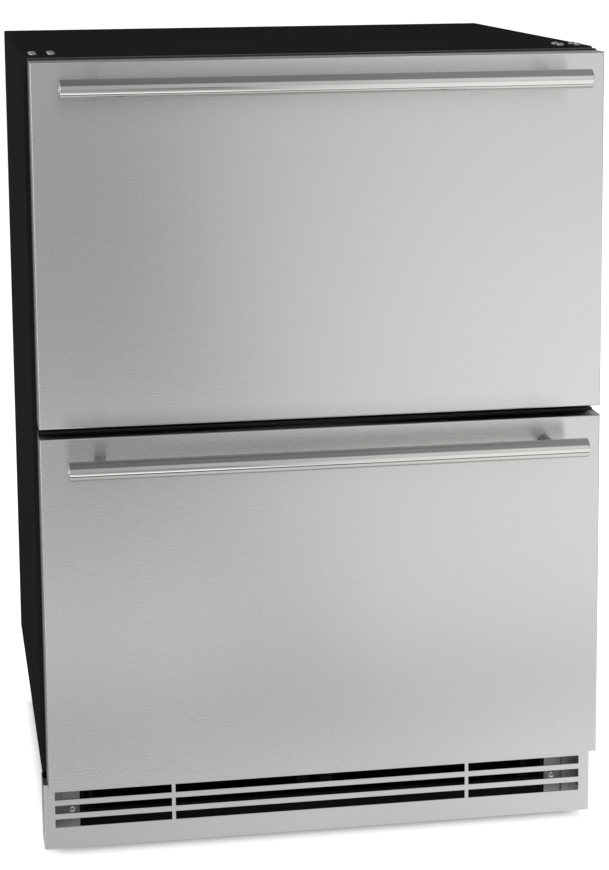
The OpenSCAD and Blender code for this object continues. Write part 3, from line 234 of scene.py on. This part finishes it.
# %% Moulded finishes
def moulded(name, colours, roughness, grain, depth, **shader_values):
    """Plastic, rubber or foam with a grain of a real width and depth."""
    material, tree, shader, where = new_finish(name, **shader_values)
    grains = add(tree, "ShaderNodeTexNoise", {"Vector": where, "Scale": 1 / grain, "Detail": 2.0})
    pattern = grains.outputs["Fac"]
    vary(tree, shader, pattern, [(0.35, colours[0]), (0.65, colours[1])], pattern, roughness, 0.05)
    bump = add(tree, "ShaderNodeBump", {"Height": pattern, "Strength": 0.6, "Distance": depth})
    tree.links.new(bump.outputs[0], shader.inputs["Normal"])
    return material


liner_plastic = moulded("polystyrene_liner", ("#dfe1e0", "#e6e8e7"), 0.35, 1.2 * mm, 0.02 * mm)
black_abs = moulded("textured_black_abs", ("#111111", "#171717"), 0.5, 0.6 * mm, 0.04 * mm)
black_nylon = moulded("black_nylon", ("#131313", "#1a1a1a"), 0.42, 1.0 * mm, 0.02 * mm)
gasket_pvc = moulded("soft_pvc_gasket", ("#0e0e0e", "#131313"), 0.55, 0.8 * mm, 0.02 * mm)
mount_rubber = moulded("moulded_rubber", ("#101010", "#161616"), 0.7, 0.5 * mm, 0.03 * mm)
foam = moulded("polyurethane_foam", ("#d8cb9b", "#e6dbb0"), 0.85, 1.0 * mm, 0.4 * mm)
opal_lens = moulded(
    "opal_acrylic", ("#f0f0ea", "#f8f8f2"), 0.4, 2.0 * mm, 0.05 * mm, Transmission_Weight=0.3
)


def drawn_copper():
    """Copper pipe: the brown patches, about 15 mm across, are rougher than the bright metal."""
    material, tree, shader, where = new_finish("drawn_copper", Metallic=1.0)
    clouds = add(tree, "ShaderNodeTexNoise", {"Vector": where, "Scale": 1 / (15 * mm), "Detail": 4.0})
    patches = clouds.outputs["Fac"]
    vary(tree, shader, patches, [(0.35, "#8a4f2c"), (0.6, "#c58355")], patches, 0.325, -0.125)
    return material


copper = drawn_copper()
print("moulded finishes and copper ready")

# %% [markdown]
# ## Dress the CAD nodes
# Most solids already have their real shape, so they only take a finish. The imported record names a
# material slot for each node, and a table turns each slot into one of the finishes above. A second,
# short table holds the few pieces that aren't made of what their slot says: the fans and feet are
# moulded nylon, and the compressor's mounts are a harder rubber than the gaskets.

# %% Finish of each slot
finish_of = {
    "cabinet_paint": cabinet_paint,
    "galvanised_steel": shaded_galvanised,
    "pan_paint": pan_paint,
    "stainless_front": front_steel,
    "stainless_handle": tube_steel,
    "stainless_grille": grille_steel,
    "stainless_bin": bin_steel,
    "screw_steel": screw_zinc,
    "liner_plastic": liner_plastic,
    "black_plastic": black_abs,
    "gasket_rubber": gasket_pvc,
    "insulating_foam": foam,
    "copper_pipe": copper,
    "coil_aluminium": coil_aluminium,
    "compressor_paint": compressor_paint,
    "slide_steel": slide_zinc,
    "ball_steel": ball_steel,
    "lens_plastic": opal_lens,
}
slot_of = {s["node"]: s["material_slot"] for s in frame["record"]["subparts"]}
own_finish = {
    "condenser_fan": black_nylon,
    "evaporator_fan": black_nylon,
    "compressor_mounts": mount_rubber,
    "front_left_foot": black_nylon,
    "front_right_foot": black_nylon,
    "rear_left_foot": black_nylon,
    "rear_right_foot": black_nylon,
}
for name, node_object in frame["nodes"].items():
    finish = own_finish.get(name, finish_of[slot_of[name]])
    node_object.data.materials.clear()
    node_object.data.materials.append(finish)
print("dressed", len(frame["nodes"]), "nodes in", len(set(slot_of.values())), "finishes")

# %% [markdown]
# ## Helpers for pieces
# A finished piece is a plain mesh with its place in its vertices. One helper turns a bmesh or an object
# with modifiers into such a mesh, shades it smooth except at sharp edges, and lets it ride on its body.
# A second one spins a profile round an axis, as a lathe does, for handles, posts and screw heads.


# %% Piece helpers
def settle(piece, body, finish, replaces=(), angle=35):
    """Bakes modifiers into a plain mesh, smooths it, gives it its finish and lets it ride.
    Faces square to an axis stay flat, so that a bend beside them can't tilt their shading."""
    graph = bpy.context.evaluated_depsgraph_get()
    baked = bpy.data.meshes.new_from_object(piece.evaluated_get(graph), depsgraph=graph)
    piece.modifiers.clear()
    piece.data = baked
    baked.name = piece.name
    baked.materials.clear()
    baked.materials.append(finish)
    for polygon in baked.polygons:
        polygon.material_index = 0
        polygon.use_smooth = max(abs(n) for n in polygon.normal) < 0.99999
    baked.set_sharp_from_angle(angle=math.radians(angle))
    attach(piece, body)
    if replaces:
        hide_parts(*replaces)
    print(piece.name, "triangles:", sum(len(p.vertices) - 2 for p in baked.polygons), "on", body)


def piece_from(bm, name):
    """An object at the origin from a bmesh, with its normals outwards."""
    bmesh.ops.recalc_face_normals(bm, faces=bm.faces)
    mesh = bpy.data.meshes.new(name)
    bm.to_mesh(mesh)
    bm.free()
    made = bpy.data.objects.new(name, mesh)
    bpy.context.scene.collection.objects.link(made)
    return made


def turn(bm, profile, place, segments=64):
    """Spins (along, radius) points round the local Z axis and moves the result by the matrix place."""
    rings = []
    for along, radius in profile:
        if radius == 0:
            rings.append([bm.verts.new(place @ Vector((0, 0, along)))])
            continue
        angles = [2 * math.pi * i / segments for i in range(segments)]
        ring = [Vector((radius * math.cos(a), radius * math.sin(a), along)) for a in angles]
        rings.append([bm.verts.new(place @ point) for point in ring])
    for low, high in zip(rings, rings[1:]):
        for i in range(segments):
            j = (i + 1) % segments
            if len(low) == 1:
                bm.faces.new([low[0], high[i], high[j]])
            elif len(high) == 1:
                bm.faces.new([low[i], high[0], low[j]])
            else:
                bm.faces.new([low[i], high[i], high[j], low[j]])


print("piece helpers ready")

# %% [markdown]
# ## Drawer fronts
# Each front is one stainless sheet folded back 30 mm on all four sides over a 2 mm radius. The fold
# matters: it draws a bright line down the edge. A box gets its four front edges bevelled to that radius,
# loses its back face, and a Solidify modifier gives the sheet its 0.9 mm.

# %% Folded fronts
bend_radius, sheet_thickness = 2 * mm, 0.9 * mm
touching = 0.001 * mm  # two places closer than this are one


def folded_front(drawer):
    """A stainless sheet folded back on all four sides, in the box of the CAD skin."""
    low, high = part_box(f"{drawer}_skin")
    bm = bmesh.new()
    bmesh.ops.create_cube(bm, size=1.0)
    middle, size = (low + high) / 2, high - low
    for vertex in bm.verts:
        vertex.co = middle + Vector(a * b for a, b in zip(vertex.co, size))
    at_front = [e for e in bm.edges if all(abs(v.co.y - low.y) < touching for v in e.verts)]
    bmesh.ops.bevel(bm, geom=at_front, offset=bend_radius, segments=6, affect="EDGES", profile=0.5)
    back = [f for f in bm.faces if all(abs(v.co.y - high.y) < touching for v in f.verts)]
    bmesh.ops.delete(bm, geom=back, context="FACES_ONLY")
    front = piece_from(bm, f"{drawer}_front_sheet")
    sheet = front.modifiers.new("sheet", "SOLIDIFY")
    sheet.thickness = sheet_thickness
    sheet.offset = -1
    sheet.use_even_offset = True
    settle(front, f"{drawer}_drawer", front_steel, [f"{drawer}_skin"])


for drawer in ("upper", "lower"):
    folded_front(drawer)

# %% [markdown]
# ## Handles and posts
# The handle is a 20 mm satin-polished tube. Each end is closed by a pressed-in cap: a thin rim, a fine
# joint and a slightly crowned disc. All of that is round about one axis, so one profile spun by the
# lathe helper makes it. The posts are plain turned bars, 12 mm thick, with a broken edge where they
# stand on the front. They end inside the tube's wall, so no end of theirs shows.


# %% Bar handles
quarter = math.radians(90)
post_radius, post_edge = 6 * mm, 0.3 * mm
post_short = 7.5 * mm  # from the end of a post to the tube's axis


def handle_profile(half, r):
    """Half of the tube's outline, from the middle of the left cap to the middle of the right one."""
    left = [
        (-half + 0.1 * mm, 0.0),
        (-half + 0.15 * mm, 0.45 * r),
        (-half + 0.4 * mm, r - 2.4 * mm),
        (-half + 0.9 * mm, r - 1.9 * mm),
        (-half + 0.9 * mm, r - 1.7 * mm),
        (-half + 0.25 * mm, r - 1.55 * mm),
        (-half, r - 1.3 * mm),
        (-half, r - 1.0 * mm),
        (-half + 0.15 * mm, r - 0.55 * mm),
        (-half + 0.5 * mm, r - 0.18 * mm),
        (-half + 1.1 * mm, r),
    ]
    return left + [(-along, radius) for along, radius in reversed(left)]


def bar_handle(drawer):
    """The tube with its end caps, along X, in the box of the CAD handle."""
    low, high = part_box(f"{drawer}_handle")
    centre, r = (low + high) / 2, (high.z - low.z) / 2
    place = Matrix.Translation(centre) @ Matrix.Rotation(quarter, 4, "Y")
    bm = bmesh.new()
    turn(bm, handle_profile((high.x - low.x) / 2, r), place, 96)
    handle = piece_from(bm, f"{drawer}_bar_handle")
    settle(handle, f"{drawer}_drawer", tube_steel, [f"{drawer}_handle"], 40)


def handle_posts(drawer):
    """Two posts along Y, from the front into the tube."""
    low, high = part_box(f"{drawer}_posts")
    bar_low, bar_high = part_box(f"{drawer}_handle")
    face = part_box(f"{drawer}_skin")[0].y
    axis_z, widest = (low.z + high.z) / 2, (high.z - low.z) / 2
    end = face - (bar_low.y + bar_high.y) / 2 - post_short
    r = post_radius
    profile = [(0.0, 0.0), (0.0, r - post_edge), (post_edge, r), (end, r), (end, 0.0)]
    bm = bmesh.new()
    for x in (high.x - widest, low.x + widest):
        place = Matrix.Translation((x, face, axis_z)) @ Matrix.Rotation(quarter, 4, "X")
        turn(bm, profile, place, 48)
    posts = piece_from(bm, f"{drawer}_handle_posts")
    settle(posts, f"{drawer}_drawer", shaded_post_steel, [f"{drawer}_posts"], 40)


for drawer in ("upper", "lower"):
    bar_handle(drawer)
    handle_posts(drawer)

# %% [markdown]
# ## Screws
# Eight pan-head screws hold the corner plates on top, eighteen hold the back and two hold the grille's
# brackets. They are all alike, so one head is made once: a turned dome with a cross recess cut by a
# Boolean.

# %% One screw head
head_radius, head_height = 4 * mm, 2.5 * mm


def screw_head(r, h):
    """A pan head on z = 0 with a cross recess whose arms narrow towards the bottom."""
    bm = bmesh.new()
    profile = [(0.0, 0.0), (0.0, r), (0.35 * h, r), (0.7 * h, 0.86 * r), (0.93 * h, 0.5 * r), (h, 0.0)]
    turn(bm, profile, Matrix.Identity(4), 28)
    head = piece_from(bm, "screw_head")
    arm_length, arm_width, arm_depth, narrowing = 1.1 * r, 0.2 * r, 0.6 * h, 0.45
    bm = bmesh.new()
    for turned in (0, quarter):
        arm = bmesh.ops.create_cube(bm, size=1.0)["verts"]
        for vertex in arm:
            x, y, z = vertex.co
            share = 1.0 if z > 0 else narrowing
            vertex.co = (x * arm_length * share, y * arm_width, h + z * 2 * arm_depth)
        bmesh.ops.rotate(bm, verts=arm, cent=(0, 0, 0), matrix=Matrix.Rotation(turned, 3, "Z"))
    cross = piece_from(bm, "cross_recess")
    recess = head.modifiers.new("recess", "BOOLEAN")
    recess.object = cross
    recess.operation = "DIFFERENCE"
    recess.solver = "EXACT"
    recess.use_self = True
    graph = bpy.context.evaluated_depsgraph_get()
    cut = bpy.data.meshes.new_from_object(head.evaluated_get(graph), depsgraph=graph)
    for spent in (head, cross):
        bpy.data.objects.remove(spent)
    return cut


head_mesh = screw_head(head_radius, head_height)
print("screw head faces:", len(head_mesh.polygons))

# %% [markdown]
# A Geometry Nodes tree sets a copy of a piece on each point of a small mesh that holds the places. It
# turns the copies to face outwards, and each by its own angle about its axis, because no one drives
# screws home with their crosses in line. The seed is fixed, so the angles stay the same each time.


# %% A tree that sets a piece on every point
def set_on_points_tree():
    """Inputs: the points, the piece to copy, how it is turned and its finish."""
    tree = bpy.data.node_groups.new("set_on_points", "GeometryNodeTree")
    for name, kind in (
        ("Points", "NodeSocketGeometry"),
        ("Piece", "NodeSocketObject"),
        ("Turn", "NodeSocketRotation"),
        ("Finish", "NodeSocketMaterial"),
    ):
        tree.interface.new_socket(name, in_out="INPUT", socket_type=kind)
    tree.interface.new_socket("Mesh", in_out="OUTPUT", socket_type="NodeSocketGeometry")
    given = add(tree, "NodeGroupInput")
    piece = add(tree, "GeometryNodeObjectInfo", {"Object": given.outputs["Piece"]})
    spin = add(tree, "FunctionNodeRandomValue", {2: 0.0, 3: 1.5, "Seed": 7}, data_type="FLOAT")
    axis = add(tree, "FunctionNodeAxisAngleToRotation", {"Axis": (0, 0, 1), "Angle": spin.outputs[1]})
    local = add(
        tree,
        "FunctionNodeRotateRotation",
        {"Rotation": given.outputs["Turn"], "Rotate By": axis.outputs[0]},
        rotation_space="LOCAL",
    )
    places, shape, turned = given.outputs["Points"], piece.outputs["Geometry"], local.outputs[0]
    copies = add(
        tree, "GeometryNodeInstanceOnPoints", {"Points": places, "Instance": shape, "Rotation": turned}
    )
    real = add(tree, "GeometryNodeRealizeInstances", {"Geometry": copies.outputs[0]})
    coated = {"Geometry": real.outputs[0], "Material": given.outputs["Finish"]}
    finished = add(tree, "GeometryNodeSetMaterial", coated)
    add(tree, "NodeGroupOutput", {"Mesh": finished.outputs[0]})
    return tree


points_tree = set_on_points_tree()


def copies_at(name, places, mesh, turn_by, finish):
    """An object whose mesh is a copy of mesh at each place, made by the tree and baked."""
    model = bpy.data.objects.new(name + "_model", mesh)
    bpy.context.scene.collection.objects.link(model)
    points = bpy.data.meshes.new(name)
    points.from_pydata([tuple(p) for p in places], [], [])
    made = bpy.data.objects.new(name, points)
    bpy.context.scene.collection.objects.link(made)
    modifier = made.modifiers.new("copies", "NODES")
    modifier.node_group = points_tree
    named = {s.name: s.identifier for s in points_tree.interface.items_tree if s.in_out == "INPUT"}
    modifier[named["Piece"]] = model
    modifier[named["Turn"]] = turn_by
    modifier[named["Finish"]] = finish
    graph = bpy.context.evaluated_depsgraph_get()
    made.data = bpy.data.meshes.new_from_object(made.evaluated_get(graph), depsgraph=graph)
    made.modifiers.clear()
    bpy.data.objects.remove(model)
    return made


print("tree nodes:", len(points_tree.nodes))

# %% [markdown]
# The places come from the CAD model. A node of screws holds several solids in one mesh, so its loose
# parts are told apart, and the seat of a head lies one head's height inside the outer side of each.
# The parts are sorted by place, so that every screw gets the same angle each time the script runs.


# %% Screws in place
def islands(node):
    """Lowest and highest corner of each separate solid in a CAD node, in order of place."""
    bm = bmesh.new()
    bm.from_mesh(frame["nodes"][node].data)
    bmesh.ops.remove_doubles(bm, verts=bm.verts, dist=touching)
    left, found = set(bm.verts), []
    while left:
        start = left.pop()
        group, todo = [start], [start]
        while todo:
            for edge in todo.pop().link_edges:
                for vertex in edge.verts:
                    if vertex in left:
                        left.remove(vertex)
                        group.append(vertex)
                        todo.append(vertex)
        found.append(
            (
                Vector(min(v.co[i] for v in group) for i in range(3)),
                Vector(max(v.co[i] for v in group) for i in range(3)),
            )
        )
    bm.free()
    return sorted(found, key=lambda corners: [round(c / mm, 1) for c in corners[0]])


def screws(name, node, out_axis, turn_by):
    """Screw heads on the seats of a CAD node's screws. out_axis is the side that the heads face."""
    axis, sign = out_axis
    places = []
    for low, high in islands(node):
        seat = (low + high) / 2
        seat[axis] = high[axis] - head_height if sign > 0 else low[axis] + head_height
        places.append(seat)
    made = copies_at(name, places, head_mesh, turn_by, screw_zinc)
    settle(made, "cabinet", screw_zinc, [node], 30)


screws("top_screw_heads", "top_screws", (2, 1), (0, 0, 0))
screws("bracket_screw_heads", "bracket_screws", (1, -1), (quarter, 0, 0))
screws("back_screw_heads", "back_screws", (1, 1), (-quarter, 0, 0))

# %% [markdown]
# ## Studio
# The photograph shows the refrigerator cut out on white. The floor and the world are plain white for the
# camera, and the floor keeps a soft shadow. The object itself is lit, and mirrored in its metal, by
# another world. The handles mirror everything that lies round the X axis as bands along their length, so
# one course of light runs round that axis: bright in front up to 36 degrees, dim above and behind. A
# second course runs along the axis, from the left to the right. The level is the product of the two.


# %% World light
def light_level(tree, value, stops, unit=1.0):
    """A smooth course of light levels along a value. Stops are pairs of a place and a level."""
    first, last = stops[0][0], stops[-1][0]
    reach = {"Value": value, "From Min": first * unit, "From Max": last * unit}
    along = add(tree, "ShaderNodeMapRange", reach)
    shares = [((place - first) / (last - first), (level, level, level, 1.0)) for place, level in stops]
    course = add(tree, "ShaderNodeValToRGB", {"Fac": along.outputs[0]}, shares)
    course.color_ramp.interpolation = "EASE"
    return course.outputs["Color"]


degree = math.radians(1)
world = bpy.data.worlds.new("studio")
bpy.context.scene.world = world
world.use_nodes = True
sky = world.node_tree
sky.nodes.clear()
way = add(sky, "ShaderNodeSeparateXYZ", {0: add(sky, "ShaderNodeTexCoord").outputs["Generated"]})
forward = add(sky, "ShaderNodeMath", {0: way.outputs["Y"], 1: -1.0}, operation="MULTIPLY")
round_x = add(sky, "ShaderNodeMath", {0: way.outputs["Z"], 1: forward.outputs[0]}, operation="ARCTAN2")
along_x = add(sky, "ShaderNodeMath", {0: way.outputs["X"]}, operation="ARCSINE")
height_level = light_level(
    sky,
    round_x.outputs[0],
    [(-180, 0.5), (-90, 0.7), (-20, 0.9), (36, 0.9), (46, 0.33), (120, 0.33), (168, 0.33), (180, 0.4)],
    degree,
)
left_stops = [(-90, 2.6), (-50, 2.4), (-30, 1.1), (-12, 0.7), (4, 0.84), (11.5, 0.94)]
right_stops = [(17, 1.08), (30, 1.2), (55, 0.9), (75, 0.5), (90, 0.45)]
side_level = light_level(sky, along_x.outputs[0], left_stops + right_stops, degree)
level = add(sky, "ShaderNodeMath", {0: height_level, 1: side_level}, operation="MULTIPLY")
lit = add(sky, "ShaderNodeBackground", {"Color": level.outputs[0], "Strength": 1.0})
plain = add(sky, "ShaderNodeBackground", {"Color": linear("#ffffff"), "Strength": 1.0})
camera_ray = add(sky, "ShaderNodeLightPath").outputs["Is Camera Ray"]
shown = add(sky, "ShaderNodeMixShader", {0: camera_ray, 1: lit.outputs[0], 2: plain.outputs[0]})
add(sky, "ShaderNodeOutputWorld", {"Surface": shown.outputs[0]})
print("world: a course of light round the X axis times one along it")

# %% [markdown]
# ## Floor
# The floor is matt and white. A camera ray also gets some white emission, which lifts the open floor to
# plain white and leaves the shadow pale grey. Under the cabinet there is none, so it stays dark there.
# The metal sees another floor, made of three patches, and each is a course of light over the depth times
# one over the width. The first is the open floor, which brightens towards the right and gives the fronts
# their slow gradient. Its dark strip 0.4 m in front of the refrigerator is mirrored low on both handles
# as the thin dark line of the photograph. The second is a bright ridge along the strip's outer side,
# strongest on the left. The third is the floor next to the toe grille, and the grille mirrors it.

# %% Patches of light on the floor
under_cabinet = (
    [(-0.22, 0.0), (-0.18, 1.0), (0.27, 1.0), (0.31, 0.0)],
    [(-0.31, 0.0), (-0.28, 1.0), (0.28, 1.0), (0.31, 0.0)],
)
strip = [(-0.79, 1.1), (-0.75, 0.32), (-0.61, 0.32), (-0.57, 0.0)]
open_floor = (
    [(-12, 0.5), (-9, 0.6), (-4.5, 0.86), (-2.2, 1.02)] + strip,
    [(-2, 0.9), (-0.8, 0.55), (-0.3, 0.44), (-0.1, 0.46), (0.3, 0.99), (0.7, 1.3), (1.8, 1.44)],
)
bright_ridge = (
    [(-2.2, 0.0), (-1.6, 0.08), (-1.1, 0.55), (-0.84, 1.75), (-0.76, 0.0)],
    [(-0.7, 1.0), (-0.15, 1.0), (0.15, 0.3), (0.6, 0.05)],
)
near_grille = (
    [(-0.61, 0.0), (-0.57, 1.0), (-0.31, 1.0), (-0.24, 0.95), (0, 0.4), (1, 0.4)],
    [(-0.6, 0.75), (-0.3, 0.8), (0.05, 0.97), (0.4, 1.2), (1.0, 1.2)],
)
mirrored_patches = (open_floor, bright_ridge, near_grille)


def patch_level(tree, place, depth_stops, across_stops):
    """The light of a patch: a course over Y times a course over X."""
    courses = {
        0: light_level(tree, place.outputs["Y"], depth_stops),
        1: light_level(tree, place.outputs["X"], across_stops),
    }
    return add(tree, "ShaderNodeMath", courses, operation="MULTIPLY").outputs[0]


print("patches of light that the metal mirrors:", len(mirrored_patches))

# %% Floor
floor_side, below_feet = 60, 0.2 * mm
glow_level = 0.75
bpy.ops.mesh.primitive_plane_add(size=floor_side, location=(0, 0, -below_feet))
floor = bpy.context.object
floor.name = "studio_floor"
floor_finish = bpy.data.materials.new("white_floor")
floor_finish.use_nodes = True
tree = floor_finish.node_tree
tree.nodes.clear()
landed = add(tree, "ShaderNodeSeparateXYZ", {0: add(tree, "ShaderNodeTexCoord").outputs["Object"]})
shaded = patch_level(tree, landed, *under_cabinet)
lifted = add(tree, "ShaderNodeMath", {0: 1.0, 1: shaded}, operation="SUBTRACT")
matt = add(tree, "ShaderNodeBsdfDiffuse", {"Color": linear("#e7e7e7")})
glow = add(tree, "ShaderNodeEmission", {"Color": lifted.outputs[0], "Strength": glow_level})
both = add(tree, "ShaderNodeAddShader", {0: matt.outputs[0], 1: glow.outputs[0]})
mirrored_level = 0.0
for patch in mirrored_patches:
    more = {0: mirrored_level, 1: patch_level(tree, landed, *patch)}
    mirrored_level = add(tree, "ShaderNodeMath", more, operation="ADD").outputs[0]
mirrored = add(tree, "ShaderNodeEmission", {"Color": mirrored_level, "Strength": 1.0})
ray = add(tree, "ShaderNodeLightPath").outputs
seen = add(tree, "ShaderNodeMixShader", {0: ray["Is Camera Ray"], 1: matt.outputs[0], 2: both.outputs[0]})
either = {0: ray["Is Glossy Ray"], 1: seen.outputs[0], 2: mirrored.outputs[0]}
final = add(tree, "ShaderNodeMixShader", either)
add(tree, "ShaderNodeOutputMaterial", {"Surface": final.outputs[0]})
floor.data.materials.append(floor_finish)
print("floor finish:", len(tree.nodes), "nodes")

# %% [markdown]
# ## Soft lamps
# Two wide lamps light the painted, moulded and matt surfaces: one above, and one on the left for the
# dark side. They are hidden from the camera and from glossy rays, so they leave no spot on the metal.


# %% Lamps
def soft_lamp(name, place, aim, side, power):
    """A square area lamp at a place that looks at another one, in metres and watts."""
    data = bpy.data.lights.new(name, "AREA")
    data.size, data.energy = side, power
    lamp = bpy.data.objects.new(name, data)
    bpy.context.scene.collection.objects.link(lamp)
    lamp.location = place
    lamp.rotation_euler = (Vector(aim) - Vector(place)).to_track_quat("-Z", "Y").to_euler()
    lamp.visible_camera = False
    lamp.visible_glossy = False


soft_lamp("overhead", (0.4, -0.6, 3.2), (0, 0, 0.4), 3.0, 34)
soft_lamp("left", (-3.0, 0.4, 1.2), (-0.3, 0, 0.5), 2.0, 31)
print("two soft lamps")

# %% [markdown]
# ## Camera
# A camera with seven free values was fitted to measured edges of the photograph. Its verticals are
# nearly parallel, which needs a lens shift, and the shift is kept small so that other views still frame
# the object.

# %% Camera
photo_height = 870
focal_pixels, shift_pixels = 2265.1, -165.3
yaw, pitch, roll = 0.1649, 0.1567, 0.0083
camera_data = bpy.data.cameras.new("photo_camera")
camera = bpy.data.objects.new("photo_camera", camera_data)
bpy.context.scene.collection.objects.link(camera)
camera_data.sensor_fit = "AUTO"
camera_data.sensor_width = 36.0
camera_data.lens = focal_pixels / photo_height * camera_data.sensor_width
camera_data.shift_y = shift_pixels / photo_height
camera_data.clip_start, camera_data.clip_end = 0.05, 60
camera.location = (-0.4032, -2.5612, 1.0114)
ahead = Vector((math.sin(yaw) * math.cos(pitch), math.cos(yaw) * math.cos(pitch), -math.sin(pitch)))
level_view = ahead.to_track_quat("-Z", "Y").to_matrix()
camera.rotation_euler = (level_view @ Matrix.Rotation(-roll, 3, "Z")).to_euler()
bpy.context.scene.camera = camera
bpy.context.scene.view_settings.view_transform = "Standard"
print("lens", round(camera_data.lens, 2), "mm, shift", round(camera_data.shift_y, 3))
